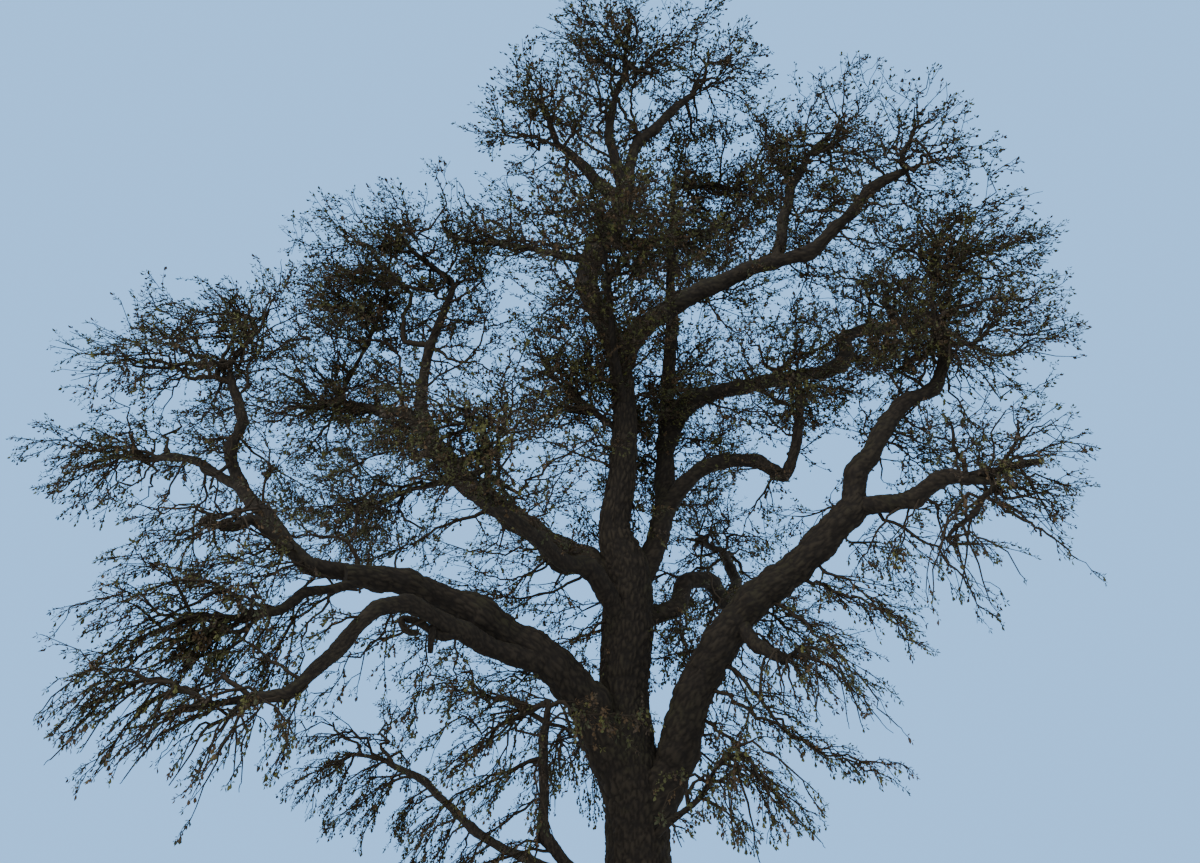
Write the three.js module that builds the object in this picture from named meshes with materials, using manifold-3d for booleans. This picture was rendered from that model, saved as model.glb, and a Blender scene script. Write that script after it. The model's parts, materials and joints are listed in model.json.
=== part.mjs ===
// Black gum tree in early spring, rooted in level ground: a trunk with its root flare, the boughs that
// leave it, and the masses of twigs and young leaves that the boughs end in. Every piece is a closed solid
// of its own. Units are millimetres with +Z up. The origin is the middle of the flat cut under the trunk, at
// ground level. The tree is seen from -Y, with +X to the right. All sizes are in metres, and METRE turns
// them into millimetres.

import * as THREE from "three";
import Module from "manifold-3d";

const wasm = await Module();
wasm.setup();

const METRE = 1000;
const MEETING_GAP = 0.0004; // air between a limb and the limb that it leaves
const STEM_GAP = 0.0003; // air between a bough's tip and the stem that grows on from it
const SEED = 20;

const RING_STEP = 0.9; // a limb has a ring about this often along its length
const TRUNK_SIDES = 15;
const FOOT_CROWDING = 1.35; // the trunk's rings crowd towards the foot by this power
const FLARE_LOBES = 5; // root buttresses round the foot of the trunk
const FLARE_SPREAD = 0.3; // how far the foot swells past the trunk
const FLARE_LOBE_DEPTH = 0.1;
const FLARE_HEIGHT = 0.55; // the swelling falls off by e over this height
const COLLAR_SWELL = 0.25; // a bough is this much thicker where it leaves its parent
const COLLAR_LENGTH = 0.45;

const STEM_ELBOW = 0.25; // a stem runs on the way its bough points for this share of its reach
const STEM_PAST_MIDDLE = 0.4;
const STEM_TIP_RADIUS = 0.03;
const SIDE_STEM_RADIUS = 0.08;
const LONE_STEM = 0.85; // a stem's radius beside that of the tip that it grows on, alone and in a pair
const SHARED_STEM = 0.46;
const CROWN_HEART = [-0.4, 0, 8.5]; // the masses all face away from here
const TWIGS_PER_MASS = 7;
const TWIG_SLIMNESS = 0.55; // a twig's radius beside the stem's where it leaves
const FIRST_TWIG = 0.03; // the first twig leaves this far past where the stem enters its space
const LAST_TWIG = 0.97; // the last twig leaves this far along the stem
const BACKWARD_REACH = 0.55; // twigs aim this far back towards the bough, where 1 is straight back
const GOLDEN_ANGLE = 2.4;
const AIM_JITTER = 0.7;
const SHORTEST_TWIG = 0.7;
const SPRAY_LENGTH = 1.1; // one leaf of the solid stands for a spray of real leaves
const SPRAY_WIDTH = 0.5;
const SPRAY_THICKNESS = 0.035;
const WIDEST_SHARE = 0.45; // a leaf is widest this far along it
const SMALLEST_SPRAY = 0.5; // a leaf may shrink to this share of its length to fit
const SIDE_SPRAY_TURN = 0.9;
const SIDE_SPRAY_SHARE = 0.9; // side leaves grow this far along the first half of a twig
const SPRAY_SHARE = 0.8; // the last leaf takes no more than this share of the second half
const TIP_ROOM = 0.995; // a twig ends this far along the room that it has
const SPRAY_ROLL = 2.4; // radians between the furthest tilts of the leaves
const LOWEST_LEAF = 0.2;
const BALL_STEP = 0.12; // limbs and stems are tested as rows of balls this far apart
const CLEAR_OF_LIMB = 0.05;
const CLEAR_OF_NEIGHBOUR = 0.01;
const FLATNESS = 1.4; // spaces are shared out as if heights counted this many times

const BARK = new THREE.MeshStandardMaterial({ color: 0x2b241d, roughness: 0.95, metalness: 0 });
const YOUNG_LEAF = new THREE.MeshStandardMaterial({ color: 0x5a5a26, roughness: 0.7, metalness: 0 });

// Each elbow of the trunk is [x, y, z, radius]. It leans and kinks as it sheds its boughs, and ends in the
// fork under the top of the crown.
const TRUNK = [
  [0, 0, 0, 0.56], [0, 0, 1.9, 0.53], [-0.03, 0.02, 2.8, 0.52], [-0.16, 0.05, 3.9, 0.44],
  [-0.23, 0.08, 4.8, 0.41], [-0.15, 0.08, 5.9, 0.45], [-0.15, 0.04, 7.0, 0.41], [-0.38, 0, 7.8, 0.28],
  [-0.25, -0.05, 8.8, 0.25], [-0.17, 0, 10.2, 0.21], [-0.34, 0.06, 11.6, 0.2], [-0.66, 0.1, 12.4, 0.19],
  [-0.92, 0.05, 13.15, 0.2], [-0.75, -0.05, 13.8, 0.22], [-0.35, -0.1, 14.5, 0.19],
  [-0.12, -0.05, 15.1, 0.15], [-0.22, 0.05, 15.6, 0.13], [-0.34, 0.1, 16.1, 0.12],
];

// A bough leaves its parent so many metres along it, then runs through its elbows and tapers from its base
// radius to its tip radius.
const BOUGHS = {
  second_leader: {
    from: "trunk", along: 6.6, base: 0.21, tip: 0.065, sides: 8,
    elbows: [[0.41, 0.3, 7.6], [0.66, 0.7, 9.1], [0.69, 1, 10.6], [0.85, 1.15, 12.2], [0.9, 1.3, 14.4],
      [1, 1.4, 15.7]],
  },
  right_bough: {
    from: "trunk", along: 2.4, base: 0.34, tip: 0.22, sides: 9,
    elbows: [[0.62, -0.15, 3.5], [0.88, -0.3, 4.3], [1.25, -0.5, 5.25], [1.85, -0.7, 6], [3.05, -1.1, 7],
      [4, -1.5, 8]],
  },
  left_bough: {
    from: "trunk", along: 2.8, base: 0.39, tip: 0.15, sides: 9,
    elbows: [[-0.87, -0.3, 4.5], [-1.5, -0.7, 5.2], [-2.9, -1.4, 6], [-4.35, -2.1, 6.4], [-4.9, -2.5, 6.35]],
  },
  upper_left: {
    from: "trunk", along: 6.5, base: 0.25, tip: 0.16, sides: 9,
    elbows: [[-0.85, 0.2, 7.25], [-1.4, 0.35, 7.45], [-2.05, 0.6, 8.05], [-3.25, 0.9, 9],
      [-3.95, 1.05, 9.75], [-4.25, 1.1, 10.15]],
  },
  upper_right: {
    from: "trunk", along: 11.3, base: 0.19, tip: 0.08, sides: 8,
    elbows: [[0.15, 0, 12.1], [0.86, -0.1, 12.55], [2.7, -0.4, 13.3], [3.5, -0.6, 13.4], [4, -0.7, 13.8],
      [4.85, -0.9, 14.7], [5.4, -1.1, 15]],
  },
  right_rise: {
    from: "right_bough", along: 7, base: 0.18, tip: 0.075, sides: 6,
    elbows: [[3.95, -1.5, 8.5], [4.25, -1.5, 8.9], [4.9, -1.45, 9.8], [5.6, -1.4, 10.2], [5.85, -1.4, 10.75],
      [5.75, -1.35, 11.4]],
  },
  right_out: {
    from: "right_bough", along: 7, base: 0.15, tip: 0.1, sides: 6,
    elbows: [[4.8, -2, 7.85], [5.35, -2.3, 8.1], [5.65, -2.6, 8]],
  },
  right_low: {
    from: "right_bough", along: 4.1, base: 0.12, tip: 0.075, sides: 5,
    elbows: [[2.06, -1.2, 5.4], [2.35, -1.8, 5.1]],
  },
  left_rise: {
    from: "left_bough", along: 5.9, base: 0.14, tip: 0.07, sides: 6,
    elbows: [[-5.5, -2.55, 6.5], [-6.3, -2.3, 7.4], [-6.95, -2.1, 8], [-7.2, -1.9, 8.8], [-7.15, -1.7, 9.3],
      [-7.5, -1.5, 10.3]],
  },
  left_low: {
    from: "left_bough", along: 2.9, base: 0.17, tip: 0.07, sides: 6,
    elbows: [[-2.45, -1.5, 5.3], [-3.75, -2.8, 5.8], [-4.2, -3.3, 5.6], [-4.6, -3.8, 4.9],
      [-5.2, -4.25, 4.15], [-5.8, -4.5, 4]],
  },
  left_out: {
    from: "left_rise", along: 0.5, base: 0.08, tip: 0.055, sides: 5,
    elbows: [[-5.3, -2.95, 5.95], [-5.7, -3.4, 5.55], [-6.1, -3.7, 5.4]],
  },
  far_left: {
    from: "left_rise", along: 3.9, base: 0.08, tip: 0.055, sides: 5,
    elbows: [[-8, -1.5, 8.7], [-8.6, -1.1, 8.9], [-8.95, -0.9, 8.95]],
  },
  mid_left_up: {
    from: "upper_left", along: 5.3, base: 0.12, tip: 0.075, sides: 5,
    elbows: [[-4.38, 1.15, 11], [-4.3, 1.2, 12.1], [-3.95, 1.2, 13.2]],
  },
  mid_left_out: {
    from: "upper_left", along: 5.2, base: 0.11, tip: 0.08, sides: 5,
    elbows: [[-4.75, 1.4, 10.75], [-5.2, 1.55, 10.8], [-5.6, 1.75, 11]],
  },
  centre_right: {
    from: "second_leader", along: 3.5, base: 0.16, tip: 0.1, sides: 6,
    elbows: [[1.2, 1.2, 10.9], [2.65, 1.4, 11.4], [4.7, 2.2, 12.25], [4.85, 2.4, 13], [5.3, 2.6, 13.25],
      [5.9, 2.75, 13.4]],
  },
  right_inner: {
    from: "second_leader", along: 2, base: 0.14, tip: 0.07, sides: 5,
    elbows: [[1.3, 0.1, 9.1], [2.3, -0.4, 9.1], [2.8, -0.7, 8.65], [3, -0.9, 9.3], [3.1, -1, 10.25]],
  },
  upper_right_fork: {
    from: "upper_right", along: 4.1, base: 0.11, tip: 0.07, sides: 5,
    elbows: [[3.1, -0.4, 14.2], [3.35, -0.2, 15.2], [3.65, 0, 15.8]],
  },
  top_left: {
    from: "trunk", along: 15.3, base: 0.13, tip: 0.08, sides: 5,
    elbows: [[-0.87, -0.3, 15.45], [-1.4, -0.6, 15.9]],
  },
  top_right: {
    from: "trunk", along: 15.6, base: 0.11, tip: 0.08, sides: 5,
    elbows: [[0.08, 0.2, 16.4], [0.6, 0.3, 17.15], [1.15, 0.45, 17.8]],
  },
  low_left_stem: {
    from: "trunk", along: 1.2, base: 0.12, tip: 0.06, sides: 5,
    elbows: [[-1.05, -0.8, 1.6], [-1.6, -1.2, 2.3], [-1.6, -1.3, 3.2], [-1.55, -1.4, 4.2]],
  },
  low_left_drooper: {
    from: "trunk", along: 1.4, base: 0.1, tip: 0.055, sides: 5,
    elbows: [[-1.7, 1, 1.8], [-3.1, 2, 2.5], [-4.1, 2.6, 3.4], [-4.9, 2.9, 3.8]],
  },
  left_mid: {
    from: "left_rise", along: 1.75, base: 0.1, tip: 0.055, sides: 5,
    elbows: [[-6.45, -2.7, 7.21], [-6.7, -2.95, 7.02], [-6.95, -3.15, 7.03]],
  },
  front_left: {
    from: "trunk", along: 5.9, base: 0.17, tip: 0.08, sides: 6,
    elbows: [[-0.84, -0.8, 6.93], [-1.31, -1.3, 6.89], [-1.86, -2.2, 7.15], [-2.31, -3, 7.34]],
  },
  back_left: {
    from: "trunk", along: 6.1, base: 0.2, tip: 0.09, sides: 6,
    elbows: [[-0.86, 0.87, 7.42], [-2.16, 2.41, 8.57], [-3.61, 4.11, 10.04]],
  },
  back_right: {
    from: "trunk", along: 6.1, base: 0.15, tip: 0.09, sides: 5,
    elbows: [[0.78, 0.45, 6.45], [0.99, 0.8, 6.99], [1.51, 1.2, 7.13], [1.84, 1.7, 6.86], [2.2, 2.6, 7.3],
      [2.1, 3.4, 8.1]],
  },
};

// A mass of foliage fills an ellipsoid: its middle, its half sizes, and how far its twigs turn up or hang
// down. It grows on from the tip of a bough, or from the side of the trunk so many metres along it.
const PAD = 0.1;
const ARCH = -0.12;
const WEEP = -0.3;
const MASSES = {
  top_crown: { on: "trunk", middle: [-0.04, 0.1, 18.79], half: [1.95, 1.85, 1.57], turn: PAD },
  top_right: { on: "top_right", middle: [1.72, 0.6, 18.69], half: [1.65, 1.6, 1.4], turn: PAD },
  top_left: { on: "top_left", middle: [-1.8, -1, 16.53], half: [1.6, 1.6, 1.15], turn: PAD },
  high_left: { on: "trunk", along: 13.8, middle: [-3.99, 1.4, 15], half: [2.1, 1.85, 1.1], turn: PAD },
  high_front: { on: "trunk", along: 10.4, middle: [-0.69, -3.6, 12.34], half: [2.05, 1.95, 0.95], turn: PAD },
  high_back: { on: "trunk", along: 14.2, middle: [2.63, 3.6, 16.54], half: [2.2, 1.95, 1.45], turn: PAD },
  second_leader: { on: "second_leader", middle: [2.75, 1.6, 16.41], half: [1.9, 1.85, 1.35], turn: PAD },
  upper_right: { on: "upper_right", middle: [5.48, -1.4, 15.46], half: [1.45, 1.6, 1.25], turn: PAD },
  upper_right_fork: { on: "upper_right_fork", middle: [4.3, 0.2, 16.79], half: [2.05, 1.85, 1.35], turn: PAD },
  centre_right: { on: "centre_right", middle: [5.96, 3, 14.33], half: [2.1, 1.95, 1.4], turn: PAD },
  right_rise_high: { on: "right_rise", middle: [6.28, -0.8, 13.81], half: [2.05, 1.95, 1.2], turn: PAD },
  right_rise_low: { on: "right_rise", middle: [6.08, -1.8, 10.86], half: [1.85, 1.85, 1.1], turn: PAD },
  right_out: { on: "right_out", middle: [5.97, -3.2, 8.09], half: [1.3, 1.45, 1.15], turn: ARCH },
  right_out_weeping: { on: "right_out", middle: [4.82, -3.8, 6.59], half: [1.3, 1.35, 1.1], turn: WEEP },
  right_low: { on: "right_low", middle: [2.57, -2.6, 5.12], half: [1.45, 1.45, 1.55], turn: WEEP },
  low_right: { on: "trunk", along: 2, middle: [1.58, -2.2, 3.48], half: [1.65, 1.6, 1.3], turn: WEEP },
  right_inner: { on: "right_inner", middle: [2.67, -1, 10.66], half: [1.5, 1.45, 1.2], turn: PAD },
  left_rise_high: { on: "left_rise", middle: [-7.33, -1, 11.65], half: [2.25, 1.95, 1.15], turn: PAD },
  left_rise_low: { on: "left_rise", middle: [-8.74, -2, 10.31], half: [1.65, 1.7, 1.05], turn: ARCH },
  far_left: { on: "far_left", middle: [-9.79, -0.4, 9.26], half: [1.8, 1.6, 1.05], turn: ARCH },
  left_mid: { on: "left_mid", middle: [-6.56, -3.7, 7.03], half: [1.5, 1.45, 0.8], turn: ARCH },
  left_out: { on: "left_out", middle: [-6.9, -4, 5.32], half: [1.85, 1.7, 1], turn: ARCH },
  left_low: { on: "left_low", middle: [-7.06, -4.8, 4.33], half: [1.6, 1.6, 1.1], turn: WEEP },
  left_low_weeping: { on: "left_low", middle: [-5.87, -4.4, 3.87], half: [1.2, 1.35, 1.1], turn: WEEP },
  mid_left_up: { on: "mid_left_up", middle: [-4.94, 1.2, 14.76], half: [2.45, 2.2, 1.45], turn: PAD },
  mid_left_high: { on: "mid_left_out", middle: [-5.43, 2.2, 14.05], half: [2, 1.95, 1.3], turn: PAD },
  mid_left_out: { on: "mid_left_out", middle: [-7.26, 2.6, 11.4], half: [2.18, 2.05, 1.32], turn: PAD },
  front_left: { on: "front_left", middle: [-2.46, -4.4, 8.29], half: [1.75, 1.7, 1.15], turn: PAD },
  inner_left: { on: "trunk", along: 9.8, middle: [-1.68, 0.5, 11.24], half: [1.65, 1.6, 1.45], turn: PAD },
  back_left: { on: "back_left", middle: [-6.18, 5, 9.85], half: [2.3, 2.2, 1.7], turn: PAD },
  back_right: { on: "back_right", middle: [1.54, 4.9, 8.98], half: [2.45, 2.2, 1.7], turn: PAD },
  low_left_stem: { on: "low_left_stem", middle: [-2.32, -1.6, 4.02], half: [1.85, 1.7, 1.05], turn: ARCH },
  low_left_drooper: { on: "low_left_drooper", middle: [-5.79, 3.4, 4.01], half: [1.9, 1.85, 1.25], turn: ARCH },
  low_back: { on: "trunk", along: 4.2, middle: [-1.5, 3.9, 4.46], half: [2.35, 2.05, 1.8], turn: ARCH },
};

// The same seed grows the same tree every time.
function seeded(seed) {
  let state = seed >>> 0;
  return () => {
    state = (Math.imul(state, 1664525) + 1013904223) >>> 0;
    return state / 4294967296;
  };
}

function vector([x, y, z]) {
  return new THREE.Vector3(x, y, z);
}

// A closed solid from points and triangles that are anticlockwise seen from outside.
function solid(points, faces) {
  const vertProperties = new Float32Array(points.flatMap((p) => [p.x * METRE, p.y * METRE, p.z * METRE]));
  const triVerts = new Uint32Array(faces.flat());
  return new wasm.Manifold(new wasm.Mesh({ numProp: 3, vertProperties, triVerts }));
}

// Joins rings of equal count, each anticlockwise about its heading, into a closed solid. It ends flat or at
// an apex.
function loft(rings, apex) {
  const sides = rings[0].length;
  const last = (rings.length - 1) * sides;
  const faces = [];
  for (let start = 0; start < last; start += sides) {
    for (let s = 0; s < sides; s += 1) {
      const next = (s + 1) % sides;
      faces.push([start + s, start + next, start + sides + next]);
      faces.push([start + s, start + sides + next, start + sides + s]);
    }
  }
  for (let s = 1; s + 1 < sides; s += 1) {
    faces.push([0, s + 1, s]);
    if (!apex) {
      faces.push([last, last + s, last + s + 1]);
    }
  }
  if (apex) {
    for (let s = 0; s < sides; s += 1) {
      faces.push([last + s, last + ((s + 1) % sides), last + sides]);
    }
  }
  return solid(apex ? [...rings.flat(), apex] : rings.flat(), faces);
}

// Rings square to their headings, each turned as little as it can be from the one before. radii[i] lists
// ring i.
function squareRings(centres, headings, radii) {
  let across = new THREE.Vector3(0.1, 1, 0.05).cross(headings[0]);
  return centres.map((centre, i) => {
    across = across.clone().addScaledVector(headings[i], -across.dot(headings[i])).normalize();
    const upward = headings[i].clone().cross(across);
    return radii[i].map((radius, s) => {
      const turn = (2 * Math.PI * s) / radii[i].length;
      const out = across.clone().multiplyScalar(radius * Math.cos(turn));
      return out.addScaledVector(upward, radius * Math.sin(turn)).add(centre);
    });
  });
}

// A limb follows a smooth curve through its elbows. radiusAt takes the share of its length and a turn
// about it.
function makeLimb(elbows, sides, crowding, radiusAt) {
  const curve = new THREE.CatmullRomCurve3(elbows.map(vector));
  const length = curve.getLength();
  return { curve, length, sides, crowding, radiusAt: (share, turn) => radiusAt(share, turn, curve, length) };
}

function trunkRadius(share, turn, curve) {
  const place = curve.getUtoTmapping(share) * (TRUNK.length - 1);
  const below = Math.min(Math.floor(place), TRUNK.length - 2);
  const bare = THREE.MathUtils.lerp(TRUNK[below][3], TRUNK[below + 1][3], place - below);
  const foot = Math.exp(-curve.getPointAt(share).z / FLARE_HEIGHT);
  return bare + foot * (FLARE_SPREAD + FLARE_LOBE_DEPTH * Math.cos(FLARE_LOBES * turn));
}

function makeBough(bough, parent) {
  const start = parent.curve.getPointAt(bough.along / parent.length);
  const radiusAt = (share, turn, curve, length) => {
    const collar = 1 + COLLAR_SWELL * Math.exp((-share * length) / COLLAR_LENGTH);
    return THREE.MathUtils.lerp(bough.base, bough.tip, share) * collar;
  };
  return makeLimb([start.toArray(), ...bough.elbows], bough.sides, 1, radiusAt);
}

// The limb's solid, grown all round and past its tip.
function limbSolid(limb, grow = 0) {
  const steps = Math.ceil(limb.length / RING_STEP);
  const shares = Array.from({ length: steps + 1 }, (_, i) => (i / steps) ** limb.crowding);
  const turns = Array.from({ length: limb.sides }, (_, s) => (2 * Math.PI * s) / limb.sides);
  const centres = shares.map((share) => limb.curve.getPointAt(share));
  const headings = shares.map((share) => limb.curve.getTangentAt(share));
  const radii = shares.map((share) => turns.map((turn) => limb.radiusAt(share, turn) + grow));
  centres.at(-1).addScaledVector(headings.at(-1), grow);
  if (limb.standsOnGround) {
    headings[0].set(0, 0, 1);
  }
  return loft(squareRings(centres, headings, radii));
}

function boxesMeet(a, b) {
  const [one, other] = [a.boundingBox(), b.boundingBox()];
  return one.min.every((low, axis) => low <= other.max[axis] && other.min[axis] <= one.max[axis]);
}

// A cut or a join can shave off scraps, so the piece is the largest body.
function largest(piece) {
  return piece.decompose().reduce((best, body) => (body.volume() > best.volume() ? body : best));
}

// A limb gives way to every limb before it, so that its foot fits the side that it leaves.
function growLimbs() {
  const trunk = makeLimb(TRUNK, TRUNK_SIDES, FOOT_CROWDING, trunkRadius);
  const limbs = { trunk: { ...trunk, standsOnGround: true } };
  for (const [name, bough] of Object.entries(BOUGHS)) {
    limbs[name] = makeBough(bough, limbs[bough.from]);
  }
  const grown = [];
  for (const limb of Object.values(limbs)) {
    const whole = limbSolid(limb);
    const near = grown.filter((other) => boxesMeet(whole, other));
    limb.solid = largest(near.reduce((left, other) => left.subtract(other), whole));
    grown.push(limbSolid(limb, MEETING_GAP));
  }
  return limbs;
}

// The stem of a mass runs from its bough's tip, or from inside the trunk, through the middle of its space.
// Two stems on one tip stand side by side, each on the side of its own mass.
function placeStem(mass, limb, twin) {
  const middle = vector(mass.middle);
  const fromSide = mass.along !== undefined;
  const start = limb.curve.getPointAt(fromSide ? mass.along / limb.length : 1);
  const heading = fromSide ? middle.clone().sub(start).normalize() : limb.curve.getTangentAt(1);
  const tipRadius = fromSide ? SIDE_STEM_RADIUS : limb.radiusAt(1, 0);
  if (!fromSide) {
    start.addScaledVector(heading, STEM_GAP);
  }
  if (twin) {
    const aside = middle.clone().sub(vector(twin.middle));
    aside.addScaledVector(heading, -aside.dot(heading)).normalize();
    start.addScaledVector(aside, tipRadius / 2);
  }
  const outward = middle.clone().sub(vector(CROWN_HEART)).normalize();
  const elbow = start.clone().addScaledVector(heading, STEM_ELBOW * start.distanceTo(middle));
  const bend = elbow.clone().lerp(middle, 0.5);
  const end = middle.clone().addScaledVector(outward, STEM_PAST_MIDDLE * Math.min(...mass.half));
  const points = [start, elbow, bend, middle, end];
  const base = (twin ? SHARED_STEM : LONE_STEM) * tipRadius;
  const radii = points.map((_, i) => THREE.MathUtils.lerp(base, STEM_TIP_RADIUS, i / (points.length - 1)));
  return { points, radii, heading, outward };
}

// The point and the radius at a share of the way through a stem's points, counted by its legs.
function onStem({ points, radii }, share) {
  const legs = points.length - 1;
  const leg = Math.min(Math.floor(share * legs), legs - 1);
  const point = points[leg].clone().lerp(points[leg + 1], share * legs - leg);
  return { point, radius: THREE.MathUtils.lerp(radii[0], radii[legs], share) };
}

// Headings that start one given way and then halve the angle at each point.
function headingsThrough(points, first) {
  return points.map((p, i) => {
    const before = i ? p.clone().sub(points[i - 1]).normalize() : first.clone();
    const after = i && i + 1 < points.length ? points[i + 1].clone().sub(p).normalize() : before.clone();
    return before.add(after).normalize();
  });
}

function stemSolid({ points, radii, heading }) {
  const sides = radii.map((radius) => Array(3).fill(radius));
  return loft(squareRings(points, headingsThrough(points, heading), sides));
}

// Flat walls share out the room between masses, set further from a large mass than from a small one.
function buildWalls(mass, others) {
  const stretch = (m) => new THREE.Vector3(m.middle[0], m.middle[1], m.middle[2] * FLATNESS);
  const weight = (m) => Math.cbrt(m.half[0] * m.half[1] * m.half[2] * FLATNESS) ** 2;
  const here = stretch(mass);
  const walls = others.map((other) => {
    const there = stretch(other);
    const level = (there.lengthSq() - here.lengthSq() + weight(mass) - weight(other)) / 2;
    const across = there.sub(here);
    const normal = across.clone().multiply(new THREE.Vector3(1, 1, FLATNESS));
    return { normal, level: level - across.length() * CLEAR_OF_NEIGHBOUR };
  });
  return [...walls, { normal: new THREE.Vector3(0, 0, -1), level: -LOWEST_LEAF }];
}

function isInside(mass, point) {
  const from = point.clone().sub(vector(mass.middle)).divide(vector(mass.half));
  return from.lengthSq() < 1 && mass.walls.every((wall) => wall.normal.dot(point) < wall.level);
}

// The share of the way from one point to another that lies in the mass's space.
function roomTowards(mass, point, aim) {
  const half = vector(mass.half);
  const from = point.clone().sub(vector(mass.middle)).divide(half);
  const step = aim.clone().sub(point);
  const stretched = step.clone().divide(half);
  const closing = from.dot(stretched) / stretched.lengthSq();
  const ellipsoidRoom = Math.sqrt(closing ** 2 + (1 - from.lengthSq()) / stretched.lengthSq()) - closing;
  return mass.walls.reduce((room, wall) => {
    const speed = wall.normal.dot(step);
    return speed > 0 ? Math.min(room, (wall.level - wall.normal.dot(point)) / speed) : room;
  }, Math.min(1, ellipsoidRoom));
}

// Limbs and stems are tested as rows of balls, which a twig or a leaf has to stay clear of.
function ballsAlong(length, centreAt, radiusAt) {
  const count = Math.ceil(length / BALL_STEP);
  return Array.from({ length: count + 1 }, (_, i) => {
    return { centre: centreAt(i / count), radius: radiusAt(i / count) };
  });
}

function isClear(from, to, halfWidth, balls) {
  const line = new THREE.Line3(from, to);
  const nearest = new THREE.Vector3();
  return balls.every(({ centre, radius }) => {
    line.closestPointToPoint(centre, true, nearest);
    return nearest.distanceTo(centre) > radius + halfWidth + CLEAR_OF_LIMB;
  });
}

// The ring where a leaf is widest: a ridge and two edges. The leaf narrows from here to its root and tip.
function widestRing(root, heading, length, roll) {
  const across = new THREE.Vector3(0, 0, 1).cross(heading).normalize().applyAxisAngle(heading, roll);
  const centre = root.clone().addScaledVector(heading, WIDEST_SHARE * length);
  const edge = across.clone().multiplyScalar(((length / SPRAY_LENGTH) * SPRAY_WIDTH) / 2);
  const ridge = heading.clone().cross(across).multiplyScalar(SPRAY_THICKNESS);
  return [centre.clone().add(ridge), centre.clone().sub(edge), centre.clone().add(edge)];
}

// A side leaf that would leave the space or touch a limb is made shorter, and then skipped.
function sideSpray(mass, root, heading, roll, balls) {
  for (let length = SPRAY_LENGTH; length >= SPRAY_LENGTH * SMALLEST_SPRAY; length *= 0.8) {
    const [ridge, left, right] = widestRing(root, heading, length, roll);
    const tip = root.clone().addScaledVector(heading, length);
    const halfWidth = left.distanceTo(right) / 2;
    if ([ridge, left, right, tip].every((p) => isInside(mass, p)) && isClear(root, tip, halfWidth, balls)) {
      const faces = [[0, 2, 1], [0, 3, 2], [0, 1, 3], [4, 1, 2], [4, 2, 3], [4, 3, 1]];
      return [solid([root, ridge, left, right, tip], faces)];
    }
  }
  return [];
}

// A twig runs from the stem towards its aim on the edge of the space, bent up or down on the way, and ends
// in a leaf.
function growTwig(mass, root, radius, aim, rolls, balls) {
  const room = roomTowards(mass, root, aim);
  const tip = root.clone().lerp(aim, room * TIP_ROOM);
  const reach = root.distanceTo(tip);
  const bend = root.clone().lerp(tip, 0.5).add(new THREE.Vector3(0, 0, -mass.turn * reach));
  if (reach < SHORTEST_TWIG || !isInside(mass, root) || !isInside(mass, bend)) {
    return [];
  }
  const first = bend.clone().sub(root).normalize();
  const onward = tip.clone().sub(bend);
  const length = Math.min(SPRAY_LENGTH, SPRAY_SHARE * onward.length());
  const leafRoot = tip.clone().addScaledVector(onward.normalize(), -length);
  const widest = widestRing(leafRoot, onward, length, rolls[0]);
  const halfWidth = widest[1].distanceTo(widest[2]) / 2;
  const clear = isClear(root, bend, radius, balls) && isClear(bend, tip, halfWidth, balls);
  if (!clear || !widest.every((p) => isInside(mass, p))) {
    return [];
  }
  const centres = [root, bend, leafRoot];
  const radii = [1, 0.8, 0.5].map((share) => Array(3).fill(radius * share));
  const rings = squareRings(centres, headingsThrough(centres, first), radii);
  const pieces = [loft([...rings, widest], tip)];
  rolls.slice(1).forEach((roll, side) => {
    const turn = side % 2 ? SIDE_SPRAY_TURN : -SIDE_SPRAY_TURN;
    const sideways = first.clone().applyAxisAngle(new THREE.Vector3(0, 0, 1), turn);
    pieces.push(...sideSpray(mass, root.clone().lerp(bend, SIDE_SPRAY_SHARE), sideways, roll, balls));
  });
  return pieces;
}

// Aims spread evenly over the ellipsoid, from straight outward to part of the way back. On a weeping mass
// they are all on the lower half.
function aimTwig(mass, k, jitter) {
  const { outward } = mass.stem;
  const forward = THREE.MathUtils.lerp(1, -BACKWARD_REACH, k / (TWIGS_PER_MASS - 1));
  const turn = k * GOLDEN_ANGLE + jitter;
  const level = new THREE.Vector3(0.01, 0, 1).cross(outward).normalize();
  const aim = level.applyAxisAngle(outward, turn).multiplyScalar(Math.sqrt(1 - forward ** 2));
  aim.addScaledVector(outward, forward);
  if (mass.turn === WEEP) {
    aim.setZ(-Math.abs(aim.z) - 0.5).normalize();
  }
  return { forward, aim: aim.multiply(vector(mass.half)).add(vector(mass.middle)) };
}

function growMass(mass, seed, balls) {
  const random = seeded(seed);
  const shares = Array.from({ length: 40 }, (_, i) => i / 40);
  const entry = shares.find((share) => isInside(mass, onStem(mass.stem, share).point)) + FIRST_TWIG;
  const pieces = [stemSolid(mass.stem)];
  for (let k = 0; k < TWIGS_PER_MASS; k += 1) {
    const { forward, aim } = aimTwig(mass, k, random() * AIM_JITTER);
    const climb = (forward + BACKWARD_REACH) / (1 + BACKWARD_REACH);
    const { point, radius } = onStem(mass.stem, THREE.MathUtils.lerp(entry, LAST_TWIG, climb));
    const rolls = Array.from({ length: 2 }, () => (random() - 0.5) * SPRAY_ROLL);
    pieces.push(...growTwig(mass, point, TWIG_SLIMNESS * radius, aim, rolls, balls));
  }
  return wasm.Manifold.union(pieces);
}

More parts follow.
